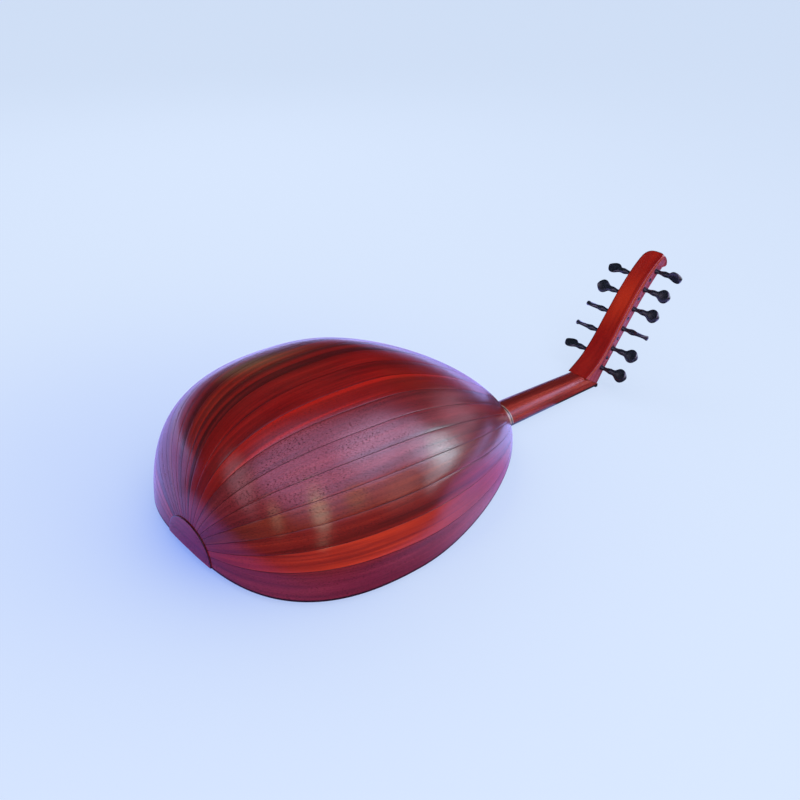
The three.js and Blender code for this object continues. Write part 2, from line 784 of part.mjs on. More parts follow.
// The run of a string from its last bend at the nut to its peg, in the pegbox
function stringRun(string) {
  const peg = pegs()[string.peg];
  const z = nutTopZ + nutSlotDepth - stringClearance - string.radius;
  const bend = new THREE.Vector3(neckEndX + bendReach, string.nutY, z);
  const y = string.nutY * gatherShare;
  const radius = shaftRadius(peg, peg.side * y) + windingLift + string.radius;
  const flat = bend.clone().sub(peg.axis);
  const along = flat.dot(upPegbox);
  const across = flat.dot(toFront);
  const distance = Math.hypot(along, across);
  const touchAngle = Math.atan2(across, along) - Math.acos(radius / distance);
  const touch = radial(touchAngle).multiplyScalar(radius).add(peg.axis);
  touch.y = y;
  const direction = bend.clone().sub(touch).normalize();
  const sweep = Math.hypot(radius + string.radius * windingEndShare, windingTail) + turningRoom;
  const nearSide = radius - string.radius * windingEndShare;
  const start = Math.sqrt(sweep * sweep - nearSide * nearSide);
  return { peg, bend, touch, touchAngle, radius, direction, start };
}

function radial(angle) {
  return new THREE.Vector3().addScaledVector(upPegbox, Math.cos(angle))
    .addScaledVector(toFront, Math.sin(angle));
}

function stringGeometry(string) {
  const { bend, touch, direction, start } = stringRun(string);
  const back = -bridgeDepth / 2 - glueGap;
  const knotted = (share) => new THREE.Vector3(back - knotRadius * 2 * share, string.bridgeY,
    stringZAtBridge());
  const slot = new THREE.Vector3(nutX, string.nutY, bend.z);
  const end = touch.clone().addScaledVector(direction, start);
  const taper = touch.clone().addScaledVector(direction, start + string.radius);
  const path = [
    [knotted(1), knotRadius * 0.4], [knotted(0.75), knotRadius], [knotted(0.25), knotRadius],
    [knotted(0), string.radius], [new THREE.Vector3(bridgeDepth / 2, string.bridgeY,
      stringZAtBridge()), string.radius],
    [slot, string.radius], [bend, string.radius], [taper, string.radius],
    [end, string.radius * windingEndShare],
  ];
  const across = new THREE.Vector3(0, 1, 0);
  const rings = path.map(([point, radius], i) => {
    const before = path[Math.max(i - 1, 0)][0];
    const after = path[Math.min(i + 1, path.length - 1)][0];
    const tangent = after.clone().sub(before).normalize();
    const side = across.clone().addScaledVector(tangent, -across.dot(tangent)).normalize();
    const up = tangent.clone().cross(side);
    return Array.from({ length: stringSideCount }, (unused, j) => {
      const angle = Math.PI * 2 * j / stringSideCount;
      return point.clone().addScaledVector(side, radius * Math.cos(angle))
        .addScaledVector(up, radius * Math.sin(angle));
    });
  });
  return loft(rings);
}

// The wound end of a string, about its peg's axis: a short tail towards the nut, the turns, and an
// end that goes into the shaft. The run that stays in place starts just outside the circle in
// which this tail turns with the peg.
function windingPoints(string) {
  const run = stringRun(string);
  const outward = Math.sign(run.touch.y) || 1;
  const pitch = string.radius * 2 + windingGap;
  const steps = Math.round(windingTurnCount * windingStepCount);
  const points = [];
  for (let i = 0; i <= steps; i += 1) {
    const angle = run.touchAngle - Math.PI * 2 * i / windingStepCount;
    const y = run.touch.y + outward * pitch * i / windingStepCount;
    points.push({ centre: radial(angle).multiplyScalar(run.radius).setY(y), angle, size: 1 });
  }
  const tail = points[0].centre.clone().addScaledVector(run.direction, windingTail);
  points.unshift({ centre: tail, angle: run.touchAngle, size: windingEndShare });
  const last = points[points.length - 1];
  const angle = last.angle - Math.PI * 2 / windingStepCount;
  const sunk = radial(angle).multiplyScalar(pegTipRadius / 2).setY(last.centre.y);
  points.push({ centre: sunk, angle, size: 1 });
  return points;
}

function windingGeometry(string) {
  const axial = new THREE.Vector3(0, 1, 0);
  return loft(windingPoints(string).map(({ centre, angle, size }) => {
    const out = radial(angle);
    const radius = string.radius * size;
    return Array.from({ length: windingSideCount }, (unused, j) => {
      const around = Math.PI * 2 * j / windingSideCount;
      return centre.clone().addScaledVector(out, radius * Math.cos(around))
        .addScaledVector(axial, radius * Math.sin(around));
    });
  }));
}

// Least gap of a winding to itself, between points at least half a turn apart
function leastWindingGap() {
  let least = Infinity;
  for (const string of strings()) {
    const centres = windingPoints(string).slice(1, -1).map(({ centre }) => centre);
    for (let i = 0; i < centres.length; i += 1) {
      for (let j = i + windingStepCount / 2; j < centres.length; j += 1) {
        least = Math.min(least, centres[i].distanceTo(centres[j]) - string.radius * 2);
      }
    }
  }
  return least;
}

console.log(`string windings: least gap to themselves ${leastWindingGap().toFixed(2)} mm`);

const instrument = new THREE.Group();

function addPiece(name, geometry, color, roughness, metalness = 0) {
  const material = new THREE.MeshStandardMaterial({ color, roughness, metalness });
  const mesh = new THREE.Mesh(welded(geometry), material);
  mesh.name = name;
  instrument.add(mesh);
  return mesh;
}

const twoDigits = (number) => String(number).padStart(2, '0');

for (let rib = 0; rib < ribCount; rib += 1) {
  const stripe = Math.min(rib, ribCount - 1 - rib);
  addPiece(`rib_${twoDigits(rib + 1)}`, ribGeometry(rib), ribColours[stripe], 0.25);
}
const core = bowlCore();
addPiece('tail_block', tailBlockGeometry(core), spruce, 0.7);
addPiece('neck_block', neckBlockGeometry(core), spruce, 0.7);
addPiece('tail_clasp', claspGeometry(), ribColours[0], 0.25);
addPiece('soundboard', soundboardGeometry(), spruce, 0.5);
const mainRows = [[0.16, 0.32, 0.48, 0.7], [0.37, 0.57, 0.77, 0.76], [0.64, 0.78, 0.94, 0.62]];
const smallRows = [[0.2, 0.4, 0.6, 0.68], [0.5, 0.7, 0.92, 0.74]];
const [mainHole, bassHole, trebleHole] = soundHoles();
addPiece('main_rosette', rosetteGeometry(mainHole, 12, mainRows), rosewood, 0.5);
addPiece('small_rosette_bass', rosetteGeometry(bassHole, 8, smallRows), rosewood, 0.5);
addPiece('small_rosette_treble', rosetteGeometry(trebleHole, 8, smallRows), rosewood, 0.5);
addPiece('pickguard', pickguardGeometry(), ebony, 0.4);
addPiece('bridge', bridgeGeometry(), rosewood, 0.4);
addPiece('neck', neckGeometry(), rosewood, 0.25);
addPiece('heel_ring', heelRingGeometry(), ebony, 0.3);
addPiece('fingerboard', fingerboardGeometry(), ebony, 0.4);
addPiece('nut', nutGeometry(), horn, 0.4);
addPiece('pegbox_back', pegboxBackGeometry(), redwood, 0.25);
addPiece('pegbox_cheek_bass', pegboxCheekGeometry(-1), pinkwood, 0.3);
addPiece('pegbox_cheek_treble', pegboxCheekGeometry(1), pinkwood, 0.3);
addPiece('pegbox_tip', pegboxTipGeometry(), redwood, 0.25);

const allPegs = pegs();
for (const [i, string] of strings().entries()) {
  const peg = allPegs[string.peg];
  const turned = pegGeometry(peg, headTurns[string.peg], windingGeometry(string));
  const mesh = addPiece(`peg_${twoDigits(string.peg + 1)}`, turned, ebony, 0.35);
  mesh.position.copy(peg.axis);
  addPiece(`string_${twoDigits(i + 1)}`, stringGeometry(string), gut, 0.4);
}

// Rest on the bridge's front edge and the nut's far edge
const rest = Math.atan2(nutTopZ, neckEndX - bridgeDepth / 2);
instrument.rotation.y = rest;
instrument.position.z = bridgeDepth / 2 * Math.sin(rest);

const oud = new THREE.Group();
oud.add(instrument);

export default oud;
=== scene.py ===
import math
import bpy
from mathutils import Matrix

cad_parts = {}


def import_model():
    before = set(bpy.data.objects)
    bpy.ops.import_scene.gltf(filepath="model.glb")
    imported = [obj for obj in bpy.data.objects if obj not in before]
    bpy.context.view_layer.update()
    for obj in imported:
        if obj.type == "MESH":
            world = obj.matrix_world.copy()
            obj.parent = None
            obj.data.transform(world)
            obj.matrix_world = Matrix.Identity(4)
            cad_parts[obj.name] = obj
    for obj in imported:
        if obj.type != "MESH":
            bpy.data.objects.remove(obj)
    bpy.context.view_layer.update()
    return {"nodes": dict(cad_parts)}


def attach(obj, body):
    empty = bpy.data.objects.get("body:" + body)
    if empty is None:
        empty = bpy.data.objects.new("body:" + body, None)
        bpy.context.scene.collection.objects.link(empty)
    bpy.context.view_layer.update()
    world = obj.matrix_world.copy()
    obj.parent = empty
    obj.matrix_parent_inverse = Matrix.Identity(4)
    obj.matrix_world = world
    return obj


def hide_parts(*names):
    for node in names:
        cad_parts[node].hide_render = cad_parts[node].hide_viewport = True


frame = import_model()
from types import SimpleNamespace

import bmesh
import bpy
import numpy as np
from mathutils import Matrix, Vector

# Sizes of the instrument in millimetres, as in the CAD source

GLUE_GAP = 0.3

# Bowl
BODY_LENGTH = 476.0
BODY_WIDTH = 364.0
BODY_DEPTH = 185.0
BELLY = 0.371 * BODY_LENGTH
CROWN = 0.419 * BODY_LENGTH
TAIL_ROUND = 2.84
NECK_ROUND = 1.49
CROWN_TAIL_ROUND = 3.17
CROWN_NECK_ROUND = 1.42
RIBS = 21
RIB_THICK = 3.0
RIB_SEAM = 0.3
RIM_RIB_ANGLE = 9.7
RIM_RIB_TAPER = -4.5
TAIL_OPENING = 20.0
CLASP_HALF = 45.0
CLASP_HIGH = 36.0
CLASP_THICK = 1.0

# Face and bridge
BOARD_THICK = 2.0
MAIN_HOLE = 43.0
MAIN_HOLE_AT = 0.603 * BODY_LENGTH
SMALL_HOLE = 20.0
SMALL_HOLE_AT = 0.4265 * BODY_LENGTH
SMALL_HOLE_SPREAD = 78.0
TAIL_TO_BRIDGE = 85.0
BRIDGE_HIGH = 8.0
BRIDGE_DEEP = 10.0

# Neck
NECK_LENGTH = 191.5
HEEL_WIDE = 50.0
HEEL_DEEP = 19.0
NUT_END_WIDE = 35.0
NUT_END_DEEP = 20.0
HEEL_POWER = 2.0
NUT_END_POWER = 2.7
HEEL_RING = 5.0
BOARD_RISE = 1.5
BOARD_INSET = 1.0
NUT_THICK = 4.5
NUT_RISE = 2.2
NUT_SLOT = 1.7

# Pegbox: each table holds shares of a length, and the share of a depth or half width there
PEGBOX_ANGLE = math.radians(52)
PEGBOX_LONG = 213.0
PEGBOX_DEEP = 24.0
FOOT_LEAN = math.radians(9.1)
FOOT_REACH = 24.0
PEGBOX_HALF = 17.6
PEGBOX_TIP_HALF = 15.2
PEGBOX_BACK = 4.0
CHEEK = 5.0
BASE_BLOCK = 9.0
BASE_BLOCK_SHARE = 0.35
TIP_BLOCK = 17.0
TIP_ROUND = 14.0
TIP_SHARES = [(0, 1), (0.2, 0.992), (0.4, 0.95), (0.6, 0.865), (0.75, 0.745), (0.87, 0.58),
              (0.95, 0.38), (1, 0.08)]
TIP_NEAR_SHARES = [(0, 1), (0.5, 1), (0.7, 0.98), (0.85, 0.93), (0.95, 0.84), (1, 0.66)]
BACK_SHARES = [(0, -1.34), (0.07, -1.08), (0.13, -0.947), (0.26, -0.86), (0.44, -0.927),
               (0.63, -0.987), (0.77, -0.937), (0.89, -0.777), (1, -0.457)]
FRONT_SHARES = [(0, -0.12), (0.12, -0.2), (0.3, -0.225), (0.55, -0.25), (0.66, -0.24),
                (0.76, -0.17), (0.86, -0.07), (0.92, 0.06), (1, 0.34)]
LIP_SHARES = [(0, 0.06), (0.2, 0.22), (0.34, 0.36), (0.48, 0.4), (0.64, 0.35), (0.82, 0.22),
              (1, 0.0)]

# Pegs: the table holds shares of a head's reach, then of its radius for both ways across
PEGS = 11
FIRST_PEG = 22.1
PEG_PITCH = 16.4
PEG_ROOT = 4.0
PEG_TIP = 2.6
BORE_CLEAR = 0.3
PEG_STAND = 0.3
PEG_REACH = 44.5
PEG_HEAD = 10.0
PEG_SHARES = [(0.16, 0.28, 0.28), (0.36, 0.43, 0.43), (0.48, 0.42, 0.36), (0.54, 0.5, 0.3),
              (0.6, 0.7, 0.26), (0.66, 0.885, 0.235), (0.72, 0.98, 0.22), (0.77, 1, 0.215),
              (0.83, 0.96, 0.22), (0.88, 0.86, 0.235), (0.925, 0.7, 0.26), (0.955, 0.52, 0.3),
              (0.985, 0.27, 0.27), (1, 0.14, 0.14)]
HEAD_TURNS = [155, 104, 150, 66, 64, 74, 158, 152, 160, 118, 200]

# Strings
COURSES = 6
BRIDGE_SPREAD = 72.0
BRIDGE_PAIR = 3.2
NUT_SPREAD = 24.0
NUT_PAIR = 1.9
BASS = 1.1
TREBLE = 0.7
STRING_CLEAR = 0.3
STRING_HIGH = 5.5
KNOT = 1.3
BEND_REACH = 0.8
GATHER = 0.58
TURNS = 1.8
WIND_GAP = 0.5
WIND_LIFT = 0.25
WIND_TAIL = 3.1
WIND_END = 0.6
TURN_ROOM = 0.15
STRING_PEGS = [0, 2, 4, 6, 8, 10, 9, 7, 5, 3, 1]

# Places that follow from the sizes
FACE = BRIDGE_HIGH
RIM = FACE + BOARD_THICK + GLUE_GAP
TAIL_X = -TAIL_TO_BRIDGE
HEEL_X = TAIL_X + BODY_LENGTH
NUT_X = HEEL_X + NECK_LENGTH
NECK_END = NUT_X + NUT_THICK
NECK_FLAT = FACE + BOARD_INSET + GLUE_GAP
NUT_TOP = FACE - BOARD_RISE - NUT_RISE
REST = math.atan2(NUT_TOP, NECK_END - BRIDGE_DEEP / 2)
LIFT = BRIDGE_DEEP / 2 * math.sin(REST)
UP_BOX = np.array([math.cos(PEGBOX_ANGLE), 0, math.sin(PEGBOX_ANGLE)])
TO_FRONT = np.array([math.sin(PEGBOX_ANGLE), 0, -math.cos(PEGBOX_ANGLE)])
FOOT = np.array([NECK_END, 0, NECK_FLAT])
CHEEK_END = PEGBOX_LONG - TIP_BLOCK
TIP_START = PEGBOX_LONG - TIP_ROUND

# What the picture has finer or a little other than the CAD source
TAIL_STEPS = 34
NECK_STEPS = 46
BOWL_STEPS = TAIL_STEPS + NECK_STEPS
WIDER = 0.5
DEEPER = 0.6
EASE = 34.0
EASE_REACH = 2.4 * EASE
EASE_WEIGHTS = [(t / 6, 1 - (t / 7) ** 2) for t in range(-6, 7)]
TIP_REACH = 15.3
TIP_BLOCK_END = 0.96
SNUG_GAP = GLUE_GAP * 0.4


def world(points):
    """Instrument millimetres to the row frame's metres."""
    p = np.atleast_2d(np.asarray(points, float))
    cosine, sine = math.cos(REST), math.sin(REST)
    out = np.stack([p[:, 0] * cosine + p[:, 2] * sine, p[:, 1],
                    -p[:, 0] * sine + p[:, 2] * cosine + LIFT], 1)
    return out / 1000


# Materials

def linear(code):
    """A hex colour as linear red, green, blue and full alpha."""
    out = []
    for shift in (16, 8, 0):
        c = ((code >> shift) & 255) / 255
        out.append(c / 12.92 if c <= 0.04045 else ((c + 0.055) / 1.055) ** 2.4)
    return (*out, 1.0)


class Net:
    """Shorthand for building a node tree."""

    def __init__(self, tree):
        self.tree = tree
        tree.nodes.clear()

    def add(self, kind, inputs=None, **props):
        node = self.tree.nodes.new("ShaderNode" + kind)
        for key, value in props.items():
            setattr(node, key, value)
        for key, value in (inputs or {}).items():
            if isinstance(value, bpy.types.NodeSocket):
                self.tree.links.new(value, node.inputs[key])
            else:
                node.inputs[key].default_value = value
        return node

    def math(self, operation, a, b=0.0, clamp=False):
        return self.add("Math", {0: a, 1: b}, operation=operation,
                        use_clamp=clamp).outputs[0]

    def plus(self, a, b, clamp=False):
        return self.math("ADD", a, b, clamp)

    def minus(self, a, b, clamp=False):
        return self.math("SUBTRACT", a, b, clamp)

    def times(self, a, b):
        return self.math("MULTIPLY", a, b)

    def over(self, a, b):
        return self.math("DIVIDE", a, b)

    def far(self, a, b):
        """Length of the flat vector with these two parts."""
        return self.math("SQRT", self.plus(self.math("POWER", a, 2.0), self.math("POWER", b, 2.0)))

    def falling(self, value, near, beyond):
        """1 below near, falling to 0 beyond."""
        return self.minus(1.0, self.range(value, near, beyond))

    def attribute(self, name, output="Fac"):
        return self.add("Attribute", attribute_name=name).outputs[output]

    def parts(self, vector):
        return self.add("SeparateXYZ", {0: vector}).outputs

    def mix(self, factor, a, b):
        return self.add("Mix", {0: factor, 6: a, 7: b}, data_type="RGBA").outputs[2]

    def noise(self, vector, scale, detail, rough, distort):
        values = {"Vector": vector, "Scale": scale, "Detail": detail, "Roughness": rough,
                  "Distortion": distort}
        return self.add("TexNoise", values).outputs["Fac"]

    def stretch(self, vector, scale, offset=(0, 0, 0)):
        return self.add("Mapping", {"Vector": vector, "Scale": scale,
                                              "Location": offset}).outputs[0]

    def figure(self, grain, long, wide, offset=(0, 0, 0), detail=3.0, rough=0.55, distort=0.0):
        """Noise whose marks have this length and width in millimetres along the grain."""
        at = self.stretch(grain, (1 / long, 1 / wide, 1 / wide), offset)
        return self.noise(at, 1.0, detail, rough, distort)

    def ramp(self, factor, stops):
        node = self.add("ValToRGB", {0: factor})
        elements = node.color_ramp.elements
        while len(elements) < len(stops):
            elements.new(0.5)
        for element, (place, color) in zip(elements, stops):
            element.position = place
            element.color = color
        return node.outputs[0]

    def range(self, value, low, high, to_low=0.0, to_high=1.0, smooth=True):
        node = self.add("MapRange", {0: value, 1: low, 2: high, 3: to_low, 4: to_high})
        node.interpolation_type = "SMOOTHSTEP" if smooth else "LINEAR"
        return node.outputs[0]

    def bump(self, height, strength, distance):
        return self.add("Bump", {"Strength": strength, "Distance": distance,
                                           "Height": height}).outputs[0]

    def principled(self, values):
        shader = self.add("BsdfPrincipled", values)
        self.add("OutputMaterial", {"Surface": shader.outputs[0]})

    def switch(self, factor, off, on):
        """One shader or another, by a factor of 0 or 1."""
        return self.add("MixShader", {0: factor, 1: off.outputs[0], 2: on.outputs[0]})


def new_material(name):
    material = bpy.data.materials.new(name)
    material.use_nodes = True
    return material, Net(material.node_tree)


def grain_vector(net, mesh_grain):
    """Millimetres along, across and through the wood."""
    if mesh_grain:
        return net.attribute("grain", "Vector")
    where = net.add("TexCoord").outputs["Object"]
    return net.stretch(where, (1000, 1000, 1000))


GRAIN_RELIEF = 0.00025
GRAIN_BUMP = 0.25
COAT_BUMP = 0.35 * GRAIN_BUMP
STREAK_LENGTH = 240.0
PORE_LENGTH = 2.6
PORE_WIDTH = 0.6
SEAM_WIDTH = 0.1
SEAM_UNEVEN = 0.36
EDGE_SOFT = 0.15


def wood_pores(net, grain, amount):
    """Short dark pores, thicker in some patches than in others."""
    fleck = net.figure(grain, PORE_LENGTH, PORE_WIDTH, (2.3, 5.9, 3.1), 2.0, 0.6)
    patch = net.figure(grain, 55, 9, (6.3, 1.9, 2.7), 2.0, 0.5)
    pore = net.times(net.range(fleck, 0.51, 0.63), net.range(patch, 0.3, 0.65, 0.5, 1.0))
    return net.times(pore, 0.68 * amount)


def warm_zone(net, grain, bands, cloud, place, reach, amount):
    """A streaky stretch round a place along the grain, in millimetres."""
    run = net.plus(net.parts(grain)[0], net.times(cloud, 30.0))
    off = net.math("ABSOLUTE", net.minus(run, place))
    streaky = net.times(net.falling(off, 0.0, reach), net.range(bands, 0.3, 0.6, 0.35, 1.0))
    return net.times(streaky, amount)


def seam_line(net, grain, edge):
    """An uneven line along the seams."""
    uneven = net.figure(grain, 40, 40, detail=2.0)
    width = net.plus(net.times(uneven, SEAM_UNEVEN), SEAM_WIDTH)
    return net.falling(net.over(edge, width), 0.35, 1.6)


def wood(name, dark, mid, light, mesh_grain=True, pores=1.0, rough=0.34, coat=1.0, contrast=1.0,
         wide=7.0, accent=None, warm=None, seam=False, edge_dark=None, painted_edge_highlight=False,
         worn_edge_shaded_far_side=False):
    """Varnished wood: wide streaks, fine grain lines and short pores, all along the grain.

    The mesh's edge attribute places what follows the form: the dark seams of a rib, a dark line of
    edge_dark millimetres (painted shade on the pegbox's back), a painted highlight on the near side
    of the pegbox's back, and the neck's dull near edge and its top and far side in painted shade."""
    material, net = new_material(name)
    grain = grain_vector(net, mesh_grain)
    bands = net.figure(grain, STREAK_LENGTH, wide, detail=4.0, rough=0.6, distort=0.35)
    lines = net.figure(grain, 70, 1.5, (3.1, 7.7, 1.3), 3.0, 0.6)
    cloud = net.figure(grain, 120, 30, (9.1, 2.2, 5.3), 2.0, 0.5)
    mixed = net.plus(net.times(bands, 0.62),
                     net.plus(net.times(lines, 0.22), net.times(cloud, 0.16)))
    spread = 0.165 / contrast
    color = net.ramp(mixed, [(0.5 - spread, linear(dark)), (0.5, linear(mid)),
                             (0.5 + spread, linear(light))])
    if accent is not None:
        stripe = net.figure(grain, 520, 11, (1.7, 4.4, 8.8), 2.0, 0.5, 0.2)
        color = net.mix(net.range(stripe, 0.49, 0.66, 0.0, 0.75), color, linear(accent))
    pore = wood_pores(net, grain, pores)
    color = net.mix(pore, color, linear(0x1d0709))
    bare = net.times(pore, 1.3)
    if warm is not None:
        place, reach, tone, amount = warm
        zone = warm_zone(net, grain, bands, cloud, place, reach, amount)
        color = net.mix(zone, color, linear(tone))
    edge = net.attribute("edge")
    if seam:
        line = seam_line(net, grain, edge)
        color = net.mix(net.times(line, 0.7), color, linear(0x1c080c))
        bare = net.math("MAXIMUM", bare, net.times(line, 0.6))
    # a dark line along an edge: on the pegbox's back it is painted shade along the far edge and tip
    if edge_dark is not None:
        inside = net.range(edge, edge_dark, edge_dark + EDGE_SOFT)
        color = net.mix(inside, linear(0x120d10), color)
    # painted highlight: the near side of the pegbox's back is lightened as if its rounded edge
    # caught the light
    if painted_edge_highlight:
        color = net.mix(net.range(edge, 60.0, 90.0, 0.0, 0.55), color, linear(0xc85a44))
    # the near edge is dull where the varnish is worn; the top and far side are darkened as painted
    # shade
    if worn_edge_shaded_far_side:
        bare = net.math("MAXIMUM", bare, net.range(edge, 0.3, 0.18, 0.0, 0.8))
        color = net.mix(net.range(edge, 0.385, 0.455, 0.0, 0.6), color, linear(0x4a0b0e))
    shine = net.figure(grain, 60, 35, (4.4, 8.1, 0.7))
    relief = net.minus(net.times(lines, 0.12), pore)
    net.principled({
        "Base Color": color,
        "Roughness": net.range(shine, 0.3, 0.7, rough - 0.06, rough + 0.08),
        "Normal": net.bump(relief, GRAIN_BUMP, GRAIN_RELIEF),
        "Specular IOR Level": 0.12,
        "Coat Weight": net.times(net.minus(1.0, bare, clamp=True), coat),
        "Coat Roughness": 0.16,
        "Coat IOR": 1.5,
        "Coat Normal": net.bump(relief, COAT_BUMP, GRAIN_RELIEF)})
    return material


def ebony(name, mesh_grain=True):
    """Near black wood with faint blue streaks and fine pores along a peg."""
    material, net = new_material(name)
    grain = grain_vector(net, mesh_grain)
    lines = net.figure(grain, 2.2, 2.2, detail=4.0, rough=0.6, distort=0.4)
    fine = net.noise(net.stretch(grain, (1 / 0.35, 1 / 6, 1 / 0.35)), 1.0, 2.0, 0.6, 0.0)
    color = net.ramp(lines, [(0.35, linear(0x080c16)), (0.6, linear(0x131b2a)),
                             (0.75, linear(0x242a40))])
    color = net.mix(net.range(fine, 0.55, 0.75, 0.0, 0.5), color, linear(0x040406))
    net.principled({
        "Base Color": color,
        "Roughness": net.range(lines, 0.3, 0.7, 0.26, 0.43),
        "Normal": net.bump(fine, 0.15, 0.0001),
        "Specular IOR Level": 0.5,
        "Coat Weight": 0.5,
        "Coat Roughness": 0.24,
        "Coat IOR": 1.6})
    return material


def spruce(name, mesh_grain=False):
    """Pale soundboard wood with straight, even growth lines."""
    material, net = new_material(name)
    grain = grain_vector(net, mesh_grain)
    wobble = net.figure(grain, 300, 40, detail=2.0)
    across = net.plus(net.parts(grain)[1], net.times(wobble, 9.0))
    line = net.range(net.math("PINGPONG", across, 0.9), 0.55, 0.9)
    color = net.mix(net.times(line, 0.6), linear(0xe0bb83), linear(0xb5824a))
    silk = net.figure(grain, 30, 2.5)
    color = net.mix(net.range(silk, 0.35, 0.75, 0.0, 0.35), color, linear(0xcf9f62))
    net.principled({
        "Base Color": color,
        "Roughness": net.range(silk, 0.3, 0.7, 0.42, 0.56),
        "Normal": net.bump(line, 0.12, 0.0002),
        "Coat Weight": 0.15,
        "Coat Roughness": 0.35})
    return material


def smooth_stuff(name, low, high, rough, size, metal=0.0):
    """Horn or string: an even stuff with a little mottle of this size in millimetres."""
    material, net = new_material(name)
    mottle = net.figure(grain_vector(net, False), size, size, detail=4.0, rough=0.6)
    net.principled({
        "Base Color": net.mix(net.range(mottle, 0.35, 0.7), linear(low), linear(high)),
        "Roughness": net.range(mottle, 0.3, 0.7, rough - 0.05, rough + 0.07),
        "Normal": net.bump(mottle, 0.1, 0.00005),
        "Metallic": metal})
    return material


RIB_LOOKS = {
    "maroon": dict(dark=0x561420, mid=0x761c2a, light=0x8c2834, pores=0.9),
    "orange": dict(dark=0x660e16, mid=0x841818, light=0x9c2418, pores=0.7,
                   warm=(850.0, 170.0, 0xbe3218, 0.85)),
    "brick": dict(dark=0x480d0d, mid=0x6e1412, light=0x8a2016, pores=0.9, accent=0x9c1c10),
    "brown": dict(dark=0x4c1612, mid=0x702018, light=0x86301e, pores=1.1),
    "rose": dict(dark=0x501218, mid=0x701c22, light=0x84282c, pores=1.3),
    "blush": dict(dark=0x521419, mid=0x741e26, light=0x882c32, pores=1.3),
    "ember": dict(dark=0x5a0a0d, mid=0x7e100f, light=0x961a12, pores=0.8, accent=0xb8190e),
    "crimson": dict(dark=0x4a070b, mid=0x760a0c, light=0x96130f, pores=0.7),
    "wine": dict(dark=0x34080e, mid=0x4e0d12, light=0x6c1416, pores=0.9, accent=0x88120f),
}
RIB_ORDER = ["maroon", "orange", "brick", "brown", "rose", "blush", "rose", "ember", "crimson",
             "crimson", "wine", "brick", "wine", "crimson", "brown", "brick", "rose", "wine",
             "brick", "orange", "maroon"]
rib_materials = {k: wood("rib_" + k, seam=True, **v) for k, v in RIB_LOOKS.items()}
MAT_CLASP = wood("clasp_wood", 0x54162e, 0x74203c, 0x862c46, pores=0.9, wide=4.0, edge_dark=0.9)
# its top and far side are darkened as painted shade
MAT_NECK = wood("neck_wood", 0x5c1614, 0x942c28, 0xb44838, wide=5.0, worn_edge_shaded_far_side=True)
# the back's dark far edge and tip line are painted shade, its paler near side a painted highlight
MAT_BACK = wood("pegbox_red", 0x6a0609, 0x8c0c0b, 0xa61a0c, pores=0.6, contrast=0.8, wide=16.0,
                warm=(1040.0, 70.0, 0xbe2e10, 0.62), edge_dark=0.9, painted_edge_highlight=True)
MAT_CHEEK = wood("pegbox_pink", 0x862f44, 0xa64258, 0xb8566c, pores=0.7, wide=5.0, coat=0.55)
MAT_EBONY = ebony("ebony")
MAT_EBONY_CAD = ebony("ebony_cad", mesh_grain=False)
MAT_SPRUCE = spruce("spruce_cad")
MAT_SPRUCE_FINE = spruce("spruce_fine", mesh_grain=True)
MAT_ROSETTE = wood("rosette_wood", 0x3a1c12, 0x57301e, 0x714028, mesh_grain=False, pores=0.4,
                   rough=0.5, coat=0.1)
MAT_BRIDGE = wood("bridge_wood", 0x4a1a12, 0x6e2a1a, 0x8a3e26, mesh_grain=False, pores=0.8,
                  rough=0.42, coat=0.2)
MAT_HORN = smooth_stuff("horn", 0x120e10, 0x2c2320, 0.35, 3.0)
MAT_STRING = smooth_stuff("gut_string", 0xd9cfb4, 0xeee6d0, 0.38, 1.2)
MAT_WOUND = smooth_stuff("wound_string", 0x9a8f86, 0xc8c0b6, 0.3, 0.6, metal=0.7)
MAT_EDGE = wood("edge_wood", 0x1c0a10, 0x2c0e18, 0x3c1620, pores=0.3, rough=0.4, coat=0.5)
MAT_LINE = wood("pale_line", 0x866860, 0xa2867c, 0xb89c92, pores=0.1, rough=0.4)


# Mesh helpers

def add_object(name, data):
    ob = bpy.data.objects.new(name, data)
    bpy.context.scene.collection.objects.link(ob)
    return ob


def piece(name, points, faces, material, body="oud", slot=None, replaces=(), grain=None, edge=None,
          sharp=32.0):
    """A closed mesh from instrument millimetres, riding on a body."""
    mesh = bpy.data.meshes.new(name)
    mesh.from_pydata(world(points).tolist(), [], [tuple(f) for f in faces])
    mesh.update()
    work = bmesh.new()
    work.from_mesh(mesh)
    bmesh.ops.recalc_face_normals(work, faces=work.faces)
    work.to_mesh(mesh)
    work.free()
    if grain is None:
        grain = points
    layer = mesh.attributes.new("grain", "FLOAT_VECTOR", "POINT")
    layer.data.foreach_set("vector", np.asarray(grain, float).ravel())
    if edge is not None:
        layer = mesh.attributes.new("edge", "FLOAT", "POINT")
        layer.data.foreach_set("value", np.asarray(edge, float).ravel())
    mesh.shade_smooth()
    mesh.set_sharp_from_angle(angle=math.radians(sharp))
    mesh.materials.append(material)
    ob = add_object(name, mesh)
    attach(ob, body)
    if replaces:
        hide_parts(*replaces)


def loft(name, rings, material, **looks):
    """A piece through rings of points, closed at both ends."""
    sides = len(rings[0])
    faces = []
    for first in range(0, (len(rings) - 1) * sides, sides):
        for j in range(sides):
            a, b = first + j, first + (j + 1) % sides
            faces.append((a, b, b + sides, a + sides))
    faces.append(tuple(range(sides)))
    faces.append(tuple((len(rings) - 1) * sides + j for j in range(sides)))
    piece(name, np.array(rings).reshape(-1, 3), faces, material, **looks)


